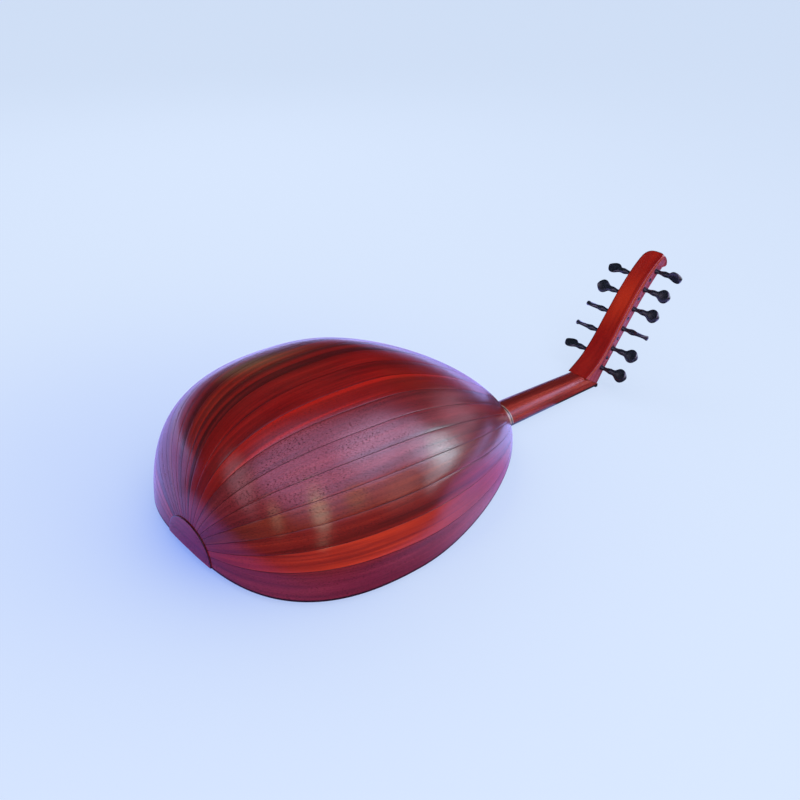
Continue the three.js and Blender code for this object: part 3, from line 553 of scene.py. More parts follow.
def filled(loops, low, high, bevel=0.0):
    """Points and faces of a plate with holes, from its outlines and its heights."""
    curve = bpy.data.curves.new("outline", "CURVE")
    curve.dimensions = "2D"
    curve.fill_mode = "BOTH"
    curve.extrude = (high - low) / 2 - bevel
    curve.bevel_depth = bevel
    curve.bevel_resolution = 2
    curve.offset = -bevel
    for loop in loops:
        spline = curve.splines.new("POLY")
        spline.points.add(len(loop) - 1)
        flat = np.zeros((len(loop), 4))
        flat[:, :2] = np.asarray(loop)
        flat[:, 3] = 1
        spline.points.foreach_set("co", flat.ravel())
        spline.use_cyclic_u = True
    ob = add_object("outline", curve)
    mesh = bpy.data.meshes.new_from_object(ob.evaluated_get(bpy.context.evaluated_depsgraph_get()))
    bpy.data.objects.remove(ob)
    bpy.data.curves.remove(curve)
    work = bmesh.new()
    work.from_mesh(mesh)
    bmesh.ops.remove_doubles(work, verts=work.verts, dist=1e-4)
    work.verts.index_update()
    points = np.array([v.co[:] for v in work.verts])
    faces = [tuple(v.index for v in f.verts) for f in work.faces]
    work.free()
    bpy.data.meshes.remove(mesh)
    points[:, 2] += (low + high) / 2
    return points, faces


def unit(vector):
    return vector / np.linalg.norm(vector)


def full_turn(sides):
    return np.linspace(0, 2 * math.pi, sides, endpoint=False)


def circle(x, y, radius, sides):
    a = full_turn(sides)
    return np.stack([x + radius * np.cos(a), y + radius * np.sin(a)], 1)


def follow(table, place):
    """The CAD source's curve through a table of places."""
    i = 0
    while i < len(table) - 2 and place > table[i + 1][0]:
        i += 1

    def slope(k):
        low, high = table[max(k - 1, 0)], table[min(k + 1, len(table) - 1)]
        return (high[1] - low[1]) / (high[0] - low[0])
    (x0, y0), (x1, y1) = table[i], table[i + 1]
    span = x1 - x0
    t = (place - x0) / span
    r = 1 - t
    return (y0 * r * r * (1 + 2 * t) + y1 * t * t * (1 + 2 * r)
            + span * t * r * (slope(i) * r - slope(i + 1) * t))


def cad_look(name, material, bevel=0.0):
    """A CAD node keeps its shape and gets a better material, and soft edges where they help."""
    ob = frame["nodes"][name]
    for slot in ob.material_slots:
        slot.material = material
    if bevel:
        soft = ob.modifiers.new("soft_edges", "BEVEL")
        soft.width = bevel / 1000
        soft.segments = 2
        soft.limit_method = "ANGLE"
        soft.angle_limit = math.radians(38)


# Bowl

def swell(x, full, end, peak, tail_power, neck_power):
    """Half width or depth of the bowl: full at the peak, nothing at the tail, end at the neck."""
    if x <= peak:
        return full * (1 - ((peak - x) / peak) ** tail_power) ** (1 / tail_power)
    reach = (1 - (end / full) ** neck_power) ** (1 / neck_power)
    run = min((x - peak) / (BODY_LENGTH - peak), 1) * reach
    return full * (1 - run ** neck_power) ** (1 / neck_power)


def eased(curve, x, peak):
    """The mean of the curve over a short way, so that its halves meet smoothly at the peak."""
    way = EASE * max(0.0, 1 - ((x - peak) / EASE_REACH) ** 2) ** 2
    total = sum(weight * curve(x + way * t) for t, weight in EASE_WEIGHTS)
    return total / sum(weight for _, weight in EASE_WEIGHTS)


def half_width(x):
    return eased(lambda q: swell(q, BODY_WIDTH / 2 + WIDER, HEEL_WIDE / 2, BELLY, TAIL_ROUND,
                                 NECK_ROUND), x, BELLY)


def depth(x):
    return eased(lambda q: swell(q, BODY_DEPTH + DEEPER, HEEL_DEEP, CROWN, CROWN_TAIL_ROUND,
                                 CROWN_NECK_ROUND), x, CROWN)


def place_at(step, opening=TAIL_OPENING):
    """Place along the bowl, from the end of a tail opening this half wide to the neck."""
    if step > TAIL_STEPS:
        return BELLY + (BODY_LENGTH - BELLY) * (step - TAIL_STEPS) / NECK_STEPS
    first = math.asin((opening / (BODY_WIDTH / 2)) ** (TAIL_ROUND / 2))
    turn = first + (math.pi / 2 - first) * step / TAIL_STEPS
    return BELLY * (1 - math.cos(turn) ** (2 / TAIL_ROUND))


def bowl_point(x, angle):
    return np.array([TAIL_X + x, -half_width(x) * math.cos(angle),
                     FACE + depth(x) * math.sin(angle)])


def bowl_normal(step, angle):
    nudge = 0.001
    low = -nudge if step > nudge else 0
    high = nudge if step < BOWL_STEPS - nudge else 0
    along = bowl_point(place_at(step + high), angle) - bowl_point(place_at(step + low), angle)
    x = place_at(step)
    return unit(np.cross(along, bowl_point(x, angle + nudge) - bowl_point(x, angle - nudge)))


def seam_angle(seam, x):
    """Angle of a seam round the bowl; the first and the last are the rims."""
    rim = math.asin((RIM - FACE) / depth(x))
    if seam == 0:
        return rim
    if seam == RIBS:
        return math.pi - rim
    drift = (x / BODY_LENGTH - BELLY / BODY_LENGTH) * 2
    first = rim + math.radians(RIM_RIB_ANGLE + RIM_RIB_TAPER * drift)
    return first + (math.pi - 2 * first) * (seam - 1) / (RIBS - 2)


# Across a rib: a lip is let down on each side, with flat points between and few points inside
SEAM_SHARE = 0.22
RIB_LIP = 0.55
RIB_LIP_SHARE = 0.12
LIP_DROPS = [0.09, 0.03, 0]
FLAT_POINTS = 6
INSIDE_POINTS = 3
EDGE_LEAST = 0.02
EDGE_NONE = 5.0


def make_rib(k):
    """One bent rib; its outer face is let down to a rounded lip along each seam."""
    first, last = k == 0, k == RIBS - 1
    rings, grain, edge = [], [], []
    run, last_mid = 0.0, None
    drops = LIP_DROPS + [0] * FLAT_POINTS + LIP_DROPS[::-1]
    for step in range(BOWL_STEPS + 1):
        x = place_at(step)
        low, high = seam_angle(k, x), seam_angle(k + 1, x)
        mid = (low + high) / 2
        mid_point = bowl_point(x, mid)
        around = np.linalg.norm(bowl_point(x, mid + 0.001) - mid_point) / 0.001
        gap = RIB_SEAM * SEAM_SHARE / around
        start = low if first else low + gap
        turn = (high if last else high - gap) - start
        wide = turn * around
        lip = min(RIB_LIP, wide * RIB_LIP_SHARE) / wide
        flat = np.linspace(lip, 1 - lip, FLAT_POINTS + 2)[1:-1]
        shares = [0, lip * 0.4, lip, *flat, 1 - lip, 1 - lip * 0.4, 1]
        if last_mid is not None:
            run += np.linalg.norm(mid_point - last_mid)
        last_mid = mid_point
        ring = []
        for share, drop in zip(shares, drops):
            at_rim = (first and share < 0.5) or (last and share > 0.5)
            angle = start + turn * share
            ring.append(bowl_point(x, angle) - (0 if at_rim else drop) * bowl_normal(step, angle))
            grain.append((run, (share - 0.5) * wide, 0))
            to_seam = 1 - share if first else share if last else min(share, 1 - share)
            edge.append(to_seam * wide + EDGE_LEAST)
        for share in np.linspace(1, 0, INSIDE_POINTS):
            angle = start + turn * share
            point = bowl_point(x, angle) - RIB_THICK * bowl_normal(step, angle)
            at_rim = (first and share == 0) or (last and share == 1)
            point[2] = RIM if at_rim else max(point[2], RIM)
            ring.append(point)
            grain.append((run, (share - 0.5) * wide, RIB_THICK))
            edge.append(EDGE_NONE)
        rings.append(ring)
    name = f"rib_{k + 1:02d}"
    own_wood = np.array([k * 611.0, k * 173.0, k * 57.0])
    loft(name + "_wood", rings, rib_materials[RIB_ORDER[k]], slot=name, replaces=[name],
         grain=np.array(grain) + own_wood, edge=edge)


def place_on_tail(y, z):
    """How far from the tail the bowl has this point of its cross section."""
    low, high = 0.0, BELLY
    for _ in range(50):
        mid = (low + high) / 2
        if math.hypot(y / max(half_width(mid), 1e-9), z / max(depth(mid), 1e-9)) < 1:
            high = mid
        else:
            low = mid
    return high


# Share of the clasp's radius, and how far the outer face is let down there to round the edge
CLASP_STEPS = [(0.02, 0.0), (0.3, 0.0), (0.6, 0.0), (0.85, 0.0), (0.955, 0.0), (0.985, 0.12),
               (1.0, 0.5)]
CLASP_SIDES = 56


def make_clasp():
    rings, edge = [], []
    for share, let_down in CLASP_STEPS:
        outer, inner = [], []
        for a in np.linspace(0, math.pi, CLASP_SIDES + 1):
            y, z = -CLASP_HALF * share * math.cos(a), CLASP_HIGH * share * math.sin(a)
            x = TAIL_X + place_on_tail(y, z)
            inner.append((x - GLUE_GAP, y, FACE + z))
            outer.append((x - GLUE_GAP - CLASP_THICK + let_down, y, FACE + z))
        rings.append(outer + inner[::-1])
        edge += [(1 - share) * (CLASP_HALF - EDGE_NONE)] * len(outer) + [EDGE_NONE] * len(inner)
    x, y, z = np.array(rings).reshape(-1, 3).T
    loft("clasp_plate", rings, MAT_CLASP, slot="clasp", replaces=["tail_clasp"],
         grain=np.stack([y, z * 0.6 + x, x], 1) + 71.0, edge=edge)


for k in range(RIBS):
    make_rib(k)
make_clasp()


# Neck and heel ring

NECK_SIDES = 56
NECK_ROWS = 44


def neck_point(x, share, outset=0.0):
    """A point of the neck's rounded back, share 0 on the bass side and 1 on the treble side."""
    t = min(max((x - HEEL_X) / (NECK_END - HEEL_X), 0), 1)
    half = HEEL_WIDE / 2 + (NUT_END_WIDE - HEEL_WIDE) / 2 * t + outset
    deep = HEEL_DEEP + (NUT_END_DEEP - HEEL_DEEP) * t + outset
    power = HEEL_POWER + (NUT_END_POWER - HEEL_POWER) * t
    start = math.asin(((NECK_FLAT - FACE) / deep) ** (power / 2))
    a = start + (math.pi - 2 * start) * share
    c = math.cos(a)
    return np.array([x, -half * math.copysign(abs(c) ** (2 / power), c),
                     FACE + deep * math.sin(a) ** (2 / power)])


def make_neck():
    """From the ring to the sloping joint with the pegbox."""
    shares = [j / NECK_SIDES for j in range(NECK_SIDES + 1)]
    slope = PEGBOX_ANGLE + FOOT_LEAN
    ends = []
    for share in shares:
        x = NECK_END
        for _ in range(5):
            rise = neck_point(x, share)[2] - NECK_FLAT
            x = NECK_END - rise * math.tan(slope) - GLUE_GAP / math.cos(slope)
        ends.append(x)
    start = HEEL_X + HEEL_RING + 2 * GLUE_GAP
    rings = [[neck_point(start + (end - start) * i / NECK_ROWS, share)
              for share, end in zip(shares, ends)] for i in range(NECK_ROWS + 1)]
    loft("neck_wood", rings, MAT_NECK, slot="rosewood", replaces=["neck"],
         grain=np.array(rings).reshape(-1, 3) + 400.0, edge=shares * len(rings))


# The ring's layers: name, where each starts and ends, and how far it stands over the neck
RING_PALE = 4.8
RING_DARK = 6.8
RING_END = HEEL_RING + 11 * GLUE_GAP
RING_LAYERS = [("heel_line_body", 0.0, RING_PALE, MAT_LINE, 0.04),
               ("heel_line_dark", RING_PALE, RING_DARK, MAT_EBONY, 0.05),
               ("heel_line_neck", RING_DARK, RING_END, MAT_LINE, 0.06)]


def make_heel_ring():
    """Three thin layers: pale, dark and pale."""
    start = HEEL_X + GLUE_GAP
    for name, low, high, material, outset in RING_LAYERS:
        rings = [[neck_point(start + x, j / NECK_SIDES, outset) for j in range(NECK_SIDES + 1)]
                 for x in (low, high)]
        loft(name, rings, material, slot="ebony", replaces=["heel_ring"])


make_neck()
make_heel_ring()


# Pegbox

def in_box(s, n, y):
    """A point s up the pegbox, n towards its open front and y to the treble side."""
    return FOOT + UP_BOX * s + TO_FRONT * n + np.array([0, y, 0])


def back_at(s):
    return PEGBOX_DEEP * follow(BACK_SHARES, s / PEGBOX_LONG)


def front_at(s):
    return PEGBOX_DEEP * follow(FRONT_SHARES, s / PEGBOX_LONG)


def half_at(s):
    return PEGBOX_HALF + (PEGBOX_TIP_HALF - PEGBOX_HALF) * s / PEGBOX_LONG


def tip_halves_at(s):
    """Half widths on the far side and on the near side, which is fuller at the tip."""
    along = (s - PEGBOX_LONG + TIP_ROUND) / TIP_REACH
    return [half_at(s) * (follow(shares, along) if along > 0 else 1)
            for shares in (TIP_SHARES, TIP_NEAR_SHARES)]


def at_foot(s, n):
    """Place along the pegbox; near the foot it leans over to the joint with the neck."""
    return s + n * math.tan(FOOT_LEAN) * max(0.0, 1 - s / FOOT_REACH) ** 2


def box_grain(points, offset):
    p = np.asarray(points).reshape(-1, 3) - FOOT
    return np.stack([p @ UP_BOX, p[:, 1], p @ TO_FRONT], 1) + offset


def slab_ring(s, low, high, soft, top=0.0):
    """A section of the pegbox: its outer corners are rounded by soft, its inner ones by top."""
    ring = []
    far, near = tip_halves_at(s)
    half, middle = (far + near) / 2, (far - near) / 2
    soft, top = min(soft, half * 0.5), min(top, half * 0.5)
    for n, y, n_way, y_way, radius in ((high, half, -1, -1, top), (high, -half, -1, 1, top),
                                       (low, -half, 1, 1, soft), (low, half, 1, -1, soft)):
        if not radius:
            ring.append((n, y))
            continue
        for a in np.linspace(0, math.pi / 2, 6):
            u, v = math.cos(a), math.sin(a)
            if n_way != y_way:
                u, v = v, u
            ring.append((n + n_way * radius * (1 - u), y + y_way * radius * (1 - v)))
        if n == low and y < 0:
            ring += [(low, q) for q in np.linspace(-half + soft, half - soft, 17)[1:-1]]
    return [in_box(at_foot(s, n), n, middle + y) for n, y in ring]


# Edge values: on the back's near side (a painted highlight), inside, and how they grow away from
# the tip
NEAR_EDGE = 100.0
INSIDE_EDGE = 9.0
TIP_EDGE_GROWTH = 1.2
NEAR_EDGE_WIDE = 0.4
BACK_SOFT = 1.2
BASE_SINK = 0.2


def make_pegbox_back():
    rings, edge = [], []
    end = TIP_START + TIP_REACH
    along = [*np.linspace(0, FOOT_REACH, 13), *np.linspace(FOOT_REACH, TIP_START, 36)[1:],
             *(TIP_START + TIP_REACH * np.sin(np.linspace(0, math.pi / 2, 15)[1:]))]
    for s in along:
        ring = slab_ring(s, back_at(s), back_at(s) + PEGBOX_BACK, BACK_SOFT)
        rings.append(ring)
        # how far each point is from the far edge and from the tip, where a dark line is painted as
        # shade; high on the near side
        far, near = tip_halves_at(s)
        edge += [NEAR_EDGE if point[1] < NEAR_EDGE_WIDE - near
                 else min(far - point[1], (end - s) * TIP_EDGE_GROWTH) for point in ring]
    loft("pegbox_back_wood", rings, MAT_BACK, slot="redwood", replaces=["pegbox_back"],
         grain=box_grain(rings, 900.0), edge=edge)
    base = []
    for s in (0.0, BASE_BLOCK):
        half = half_at(s) - CHEEK - GLUE_GAP
        low, high = back_at(s) + PEGBOX_BACK - BASE_SINK, -PEGBOX_DEEP * BASE_BLOCK_SHARE
        base.append([in_box(at_foot(s, n) if s == 0 else s, n, y)
                     for n, y in ((low, -half), (low, half), (high, half), (high, -half))])
    loft("pegbox_base_block", base, MAT_BACK, slot="redwood", replaces=["pegbox_back"],
         grain=box_grain(base, 1300.0), edge=[INSIDE_EDGE] * 8)


def peg_list():
    """The pegs by their places, the first of them on the bass side and then by turns."""
    pegs = []
    for i in range(PEGS):
        s = FIRST_PEG + PEG_PITCH * i
        n = (back_at(s) + PEGBOX_BACK + front_at(s)) / 2
        pegs.append(SimpleNamespace(s=s, n=n, half=half_at(s), side=-1 if i % 2 == 0 else 1,
                                    axis=in_box(s, n, 0)))
    return pegs


def shaft_radius(peg, q):
    t = (q + peg.half) / (2 * peg.half)
    return PEG_TIP + (PEG_ROOT - PEG_TIP) * t


ALL_PEGS = peg_list()
BORE_FIT = 0.55
BORE_RIM = 0.6
CHEEK_SOFT = 0.15


def make_cheek(side, name):
    """A cheek with its bores, which are narrowed to the taper of the pegs that pass them."""
    places = [*np.linspace(0, FOOT_REACH, 9), *np.linspace(FOOT_REACH, CHEEK_END, 36)[1:]]
    back = [(s, back_at(s) + PEGBOX_BACK + SNUG_GAP) for s in places]
    back = [(at_foot(s, n), n) for s, n in back]
    front = [(at_foot(s, front_at(s)), front_at(s)) for s in places[::-1]]
    nominal = PEG_ROOT + BORE_CLEAR
    loops = [back + front] + [circle(peg.s, peg.n, nominal, 40) for peg in ALL_PEGS]
    flat, faces = filled(loops, 0.0, CHEEK, CHEEK_SOFT)
    points = []
    for s, n, inset in flat:
        y = side * (half_at(s) - inset)
        for peg in ALL_PEGS:
            radius = math.hypot(s - peg.s, n - peg.n)
            if radius < nominal + BORE_RIM:
                want = (shaft_radius(peg, peg.side * y) + BORE_CLEAR * BORE_FIT
                        + (radius - nominal))
                s = peg.s + (s - peg.s) * want / radius
                n = peg.n + (n - peg.n) * want / radius
                break
        points.append(in_box(s, n, y))
    piece(name + "_wood", points, faces, MAT_CHEEK, slot="pinkwood", replaces=[name],
          grain=box_grain(points, 1700.0 + 200 * side))


def make_pegbox_tip():
    start, end = CHEEK_END + SNUG_GAP, TIP_START + TIP_REACH * TIP_BLOCK_END
    rings = []
    for a in np.linspace(0, 1, 22):
        s = start + (end - start) * a
        low = back_at(s) + PEGBOX_BACK + SNUG_GAP
        rings.append(slab_ring(s, low, PEGBOX_DEEP * follow(LIP_SHARES, a), 0.0, 2.0))
    loft("pegbox_tip_wood", rings, MAT_CHEEK, slot="redwood", replaces=["pegbox_tip"],
         grain=box_grain(rings, 2300.0))


make_pegbox_back()
make_cheek(-1, "pegbox_cheek_bass")
make_cheek(1, "pegbox_cheek_treble")
make_pegbox_tip()


# Pegs

PEG_SIDES = 32
PEG_STATIONS = [*np.linspace(0, 0.5, 14)[1:], *np.linspace(0.5, 0.92, 26)[1:],
                *np.linspace(0.92, 1.0, 8)[1:]]
HEAD_FULLER = 0.2


def head_radii(share):
    """Radii of the head both ways across, a little fuller the thin way than in the CAD source."""
    root = PEG_ROOT / PEG_HEAD
    wide = [(0.0, root)] + [(place, a) for place, a, _ in PEG_SHARES]
    thin = [(0.0, root)] + [(place, b) for place, _, b in PEG_SHARES]
    fuller = 1 + HEAD_FULLER * min(max((share - 0.5) / 0.15, 0), 1) if share < 0.98 else 1
    return PEG_HEAD * follow(wide, share), PEG_HEAD * follow(thin, share) * fuller


def make_peg(i):
    peg = ALL_PEGS[i]
    angle = math.radians(HEAD_TURNS[i])
    thin = np.array([math.cos(angle), 0, math.sin(angle)])
    wide = np.array([-math.sin(angle), 0, math.cos(angle)])
    half = peg.half

    def ring(q, a, b):
        centre = peg.axis + np.array([0, peg.side * q, 0])
        return [centre + wide * a * math.cos(u) + thin * b * math.sin(u)
                for u in full_turn(PEG_SIDES)]

    rings = []
    stations = [(-half - PEG_STAND, 0.35), (-half - PEG_STAND * 0.8, 0.7), (-half, 0.97)]
    for q, share in stations + [(q, 1.0) for q in np.linspace(-half, half, 6)]:
        radius = shaft_radius(peg, q) * share
        rings.append(ring(q, radius, radius))
    for share in PEG_STATIONS:
        rings.append(ring(half + PEG_REACH * share, *head_radii(share)))
    name = f"peg_{i + 1:02d}"
    local = np.array(rings).reshape(-1, 3) - peg.axis
    grain = np.stack([local @ wide, local[:, 1], local @ thin], 1) + i * 90.0
    loft(name + "_turned", rings, MAT_EBONY, body=name, slot="ebony", replaces=[name],
         grain=grain, sharp=50)


# Strings

STRING_SIDES = 10
WIND_STEPS = 20
WOUND_STRINGS = 5


def string_list():
    """One bass and five pairs, with their places at the bridge and at the nut."""
    strings = []
    for course in range(COURSES):
        share = course / (COURSES - 1)
        radius = (BASS + (TREBLE - BASS) * share) / 2
        for place in ([0] if course == 0 else [-1, 1]):
            strings.append(SimpleNamespace(
                radius=radius,
                bridge_y=BRIDGE_SPREAD * (share - 0.5) + BRIDGE_PAIR / 2 * place,
                nut_y=NUT_SPREAD * (share - 0.5) + NUT_PAIR / 2 * place))
    for string, peg in zip(strings, STRING_PEGS):
        string.peg = peg
    return strings


def radial(a):
    return UP_BOX * math.cos(a) + TO_FRONT * math.sin(a)


def add_run(string):
    """The straight run from the nut to where the string touches its peg."""
    peg = ALL_PEGS[string.peg]
    z = NUT_TOP + NUT_SLOT - STRING_CLEAR - string.radius
    bend = np.array([NECK_END + BEND_REACH, string.nut_y, z])
    y = string.nut_y * GATHER
    radius = shaft_radius(peg, peg.side * y) + WIND_LIFT + string.radius
    flat = bend - peg.axis
    along, across = flat @ UP_BOX, flat @ TO_FRONT
    angle = math.atan2(across, along) - math.acos(radius / math.hypot(along, across))
    touch = radial(angle) * radius + peg.axis
    touch[1] = y
    direction = unit(bend - touch)
    sweep = math.hypot(radius + string.radius * WIND_END, WIND_TAIL) + TURN_ROOM
    near = radius - string.radius * WIND_END
    vars(string).update(axis=peg.axis, bend=bend, touch=touch, angle=angle, wound=radius,
                        direction=direction, clear=math.sqrt(sweep ** 2 - near ** 2))


def make_tube(name, places, material, **looks):
    """A round tube along places with their radii, carried without twist."""
    path = np.array([place for place, _ in places], float)
    tangents = np.gradient(path, axis=0)
    tangents /= np.linalg.norm(tangents, axis=1)[:, None]
    up = np.array([0, 1.0, 0])
    up -= tangents[0] * (up @ tangents[0])
    rings = []
    for point, tangent, (_, radius) in zip(path, tangents, places):
        up = unit(up - tangent * (up @ tangent))
        side = np.cross(tangent, up)
        rings.append([point + radius * (math.cos(a) * up + math.sin(a) * side)
                      for a in full_turn(STRING_SIDES)])
    loft(name, rings, material, slot="string", sharp=60, **looks)


def make_string(i, string, material):
    """The string from its knot behind the bridge to just before its peg."""
    radius, y, z = string.radius, string.bridge_y, FACE - STRING_HIGH
    front, back = BRIDGE_DEEP / 2, -BRIDGE_DEEP / 2 - GLUE_GAP
    places = []
    for t in np.linspace(0, 1, 9):
        knot = KNOT * math.sin(math.pi * (0.12 + 0.8 * t)) ** 0.6
        places.append(((back - 2 * KNOT * (1 - t), y, z), max(knot, radius)))
    places += [((x, y, z), radius) for x in (back + 0.6, 0, front)]
    bend = string.bend
    slot = np.array([NUT_X, string.nut_y, bend[2]])
    first = np.array([front, y, z])
    places += [(first + (slot - first) * t, radius) for t in (0.02, 0.5, 0.98)]
    places += [(slot, radius), (slot + (bend - slot) * 0.8, radius)]
    end = string.touch + string.direction * string.clear
    span = np.linalg.norm(end - bend)
    for t in (1.2 / span, 0.5, 1 - 2 * radius / span):
        places.append((bend + (end - bend) * t, radius))
    places.append((end, radius * WIND_END))
    name = f"string_{i + 1:02d}"
    make_tube(name + "_line", places, material, replaces=[name])


def make_winding(string, material):
    """The wound end of a string, which turns with the peg and dives into it."""
    radius, touch, axis = string.radius, string.touch, string.axis
    outward = math.copysign(1, touch[1]) if touch[1] else 1
    pitch = (2 * radius + WIND_GAP) * outward
    tail = touch + string.direction * WIND_TAIL
    places = [(tail + (touch - tail) * t, radius if t else radius * WIND_END)
              for t in (0, 0.3, 0.65)]

    def turned(step, share, lift, y):
        a = string.angle - 2 * math.pi * step / WIND_STEPS
        point = radial(a) * (string.wound - WIND_LIFT * lift) * share + axis
        point[1] = y
        places.append((point, radius))

    steps = int(TURNS * WIND_STEPS)
    for k in range(steps + 1):
        turned(k, 1, min(1, k / 6), touch[1] + pitch * k / WIND_STEPS)
    for k, share in ((1, 0.9), (2, 0.66), (3, 0.42)):
        turned(steps + k, share, 1, touch[1] + pitch * steps / WIND_STEPS)
    peg_name = f"peg_{string.peg + 1:02d}"
    make_tube(peg_name + "_winding", places, material, body=peg_name, replaces=[peg_name])


for i in range(PEGS):
    make_peg(i)
for i, string in enumerate(string_list()):
    add_run(string)
    stuff = MAT_WOUND if i < WOUND_STRINGS else MAT_STRING
    make_string(i, string, stuff)
    make_winding(string, stuff)


# Face, blocks and the rest of the CAD

FACE_OPENING = 2.0
# A dark band over the face's edge: its width, how much larger it is than the face, and how far it
# stands out
RIM_BAND = 2.2
RIM_BAND_GROW = 1.0002
RIM_BAND_PROUD = 0.02


def face_outline():
    edge = []
    for step in range(BOWL_STEPS + 1):
        x = place_at(step, FACE_OPENING)
        edge.append((TAIL_X + x, half_width(x)))
    return edge + [(x, -y) for x, y in edge[::-1]]


def make_soundboard():
    """The face with its three sound holes."""
    holes = [circle(TAIL_X + MAIN_HOLE_AT, 0, MAIN_HOLE, 96)]
    for y in (-SMALL_HOLE_SPREAD, SMALL_HOLE_SPREAD):
        holes.append(circle(TAIL_X + SMALL_HOLE_AT, y, SMALL_HOLE, 64))
    points, faces = filled([face_outline()] + holes, FACE, FACE + BOARD_THICK)
    piece("soundboard_plate", points, faces, MAT_SPRUCE_FINE, slot="spruce",
          replaces=["soundboard"])


def make_rim_band():
    """A thin dark band round the edge of the face."""
    ring = np.array(face_outline())
    middle = ring.mean(0)
    away = ring - middle
    inner = ring - away / np.linalg.norm(away, axis=1)[:, None] * RIM_BAND
    outer = middle + away * RIM_BAND_GROW
    low, high = FACE - RIM_BAND_PROUD, FACE + BOARD_THICK + RIM_BAND_PROUD
    count = len(ring)
    loops = [np.column_stack([flat, np.full(count, z)])
             for flat, z in ((outer, low), (outer, high), (inner, high), (inner, low))]
    faces = []
    for a in range(4):
        here, there = a * count, (a + 1) % 4 * count
        for i in range(count):
            j = (i + 1) % count
            faces.append((here + i, here + j, there + j, there + i))
    piece("soundboard_edge", np.concatenate(loops), faces, MAT_EDGE, slot="spruce",
          replaces=["soundboard"])


make_soundboard()
make_rim_band()
for name in ("tail_block", "neck_block"):
    cad_look(name, MAT_SPRUCE)
for name in ("main_rosette", "small_rosette_bass", "small_rosette_treble"):
    cad_look(name, MAT_ROSETTE)
cad_look("pickguard", MAT_EBONY_CAD)
cad_look("fingerboard", MAT_EBONY_CAD, 0.3)
cad_look("bridge", MAT_BRIDGE, 0.6)
cad_look("nut", MAT_HORN, 0.2)


# Camera: its angles in degrees, its place in instrument millimetres, and the photo in its pixels
CAMERA_AZIMUTH = -41.05
CAMERA_RISE = 27.01
CAMERA_ROLL = 1.80
CAMERA_EYE = (-487.13, -797.94, 663.68)
PHOTO_SIZE = 800.0
PHOTO_FOCAL = 978.92
PHOTO_CENTRE_X = 396.87
PHOTO_CENTRE_Y = 380.18
SENSOR = 36.0


def place_camera():
    """The photograph's view: where it was taken from and which way it looked."""
    place = Matrix.Translation(world(CAMERA_EYE)[0])
    for angle, axis in ((math.degrees(REST), "Y"), (CAMERA_AZIMUTH, "Z"),
                        (90 - CAMERA_RISE, "X"), (CAMERA_ROLL, "Z")):
        place = place @ Matrix.Rotation(math.radians(angle), 4, axis)
    data = bpy.data.cameras.new("camera")
    data.sensor_width = SENSOR
    data.lens = PHOTO_FOCAL / PHOTO_SIZE * SENSOR
    data.shift_x = (PHOTO_SIZE / 2 - PHOTO_CENTRE_X) / PHOTO_SIZE
    data.shift_y = (PHOTO_CENTRE_Y - PHOTO_SIZE / 2) / PHOTO_SIZE
    data.clip_start = 0.01
    data.clip_end = 100
    camera = add_object("camera", data)
    camera.matrix_world = place
    bpy.context.scene.camera = camera


# Light, in the frame's metres

LAMP_AIM = (0.2, 0, 0.05)


def area_lamp(name, place, size, power):
    """A soft lamp that the varnish doesn't mirror."""
    data = bpy.data.lights.new(name, "AREA")
    data.shape = "RECTANGLE"
    data.size, data.size_y = size
    data.energy = power
    ob = add_object(name, data)
    ob.location = place
    ob.rotation_euler = (Vector(LAMP_AIM) - Vector(place)).to_track_quat("-Z", "Y").to_euler()
    ob.visible_glossy = False


BACKDROP = linear(0xcfdfff)
ROOM_LIGHT = (0.93, 0.96, 1.0, 1)
ROOM_STRENGTH = 0.62
SKY_BRIGHT = (2.1, 1.6, 3.0, 1)
SKY_LOW = (0.62, 0.5, 1.15, 1)
# Bright places that the varnish mirrors: degrees from +Y towards +X, degrees over the ground, the
# degrees at which it is gone and at which it starts to fade, height over width, and its light
SKY_SPOTS = [
    (135, 43, 26, 4, 1.0, (4.0, 3.8, 6.2)),
    (118, 22, 17, 3, 1.1, (4.0, 4.2, 6.4)),
    (143, 15, 15, 3, 1.0, (1.9, 1.1, 1.1)),
    (111, 8, 13, 3, 1.2, (6.0, 7.8, 9.0)),
    (123, 3, 13, 2, 0.8, (2.8, 2.9, 3.3)),
    (88, 6, 18, 5, 0.8, (0.95, 0.62, 0.85)),
    (-80, 17, 21, 4, 1.2, (1.8, 1.5, 1.9)),
    (-161, 26, 12, 3, 1.9, (4.0, 3.8, 3.0)),
    (-158, 3, 8, 2, 1.0, (1.2, 1.1, 0.8)),
    (-114, 14, 10, 2, 1.4, (1.9, 1.7, 1.2)),
    (165, 26, 12, 3, 1.0, (1.7, 1.4, 1.0)),
    (20, 14, 15, 3, 0.9, (0.22, 0.30, 0.16)),
]


def sky_spot(net, ray, azimuth, rise, gone, fades, tall):
    """How close a direction is to a bright place, 1 at its middle."""
    azimuth, rise, gone, fades = (math.radians(a) for a in (azimuth, rise, gone, fades))
    turn = Matrix.Rotation(-azimuth, 3, "Z") @ Matrix.Rotation(rise, 3, "X")
    right, ahead, up = (net.add("VectorMath", {0: ray, 1: axis}, operation="DOT_PRODUCT")
                        .outputs["Value"] for axis in turn.col)
    close = net.falling(net.far(right, net.over(up, tall)), math.sin(fades), math.sin(gone))
    return net.times(close, net.math("GREATER_THAN", ahead, 0.0))


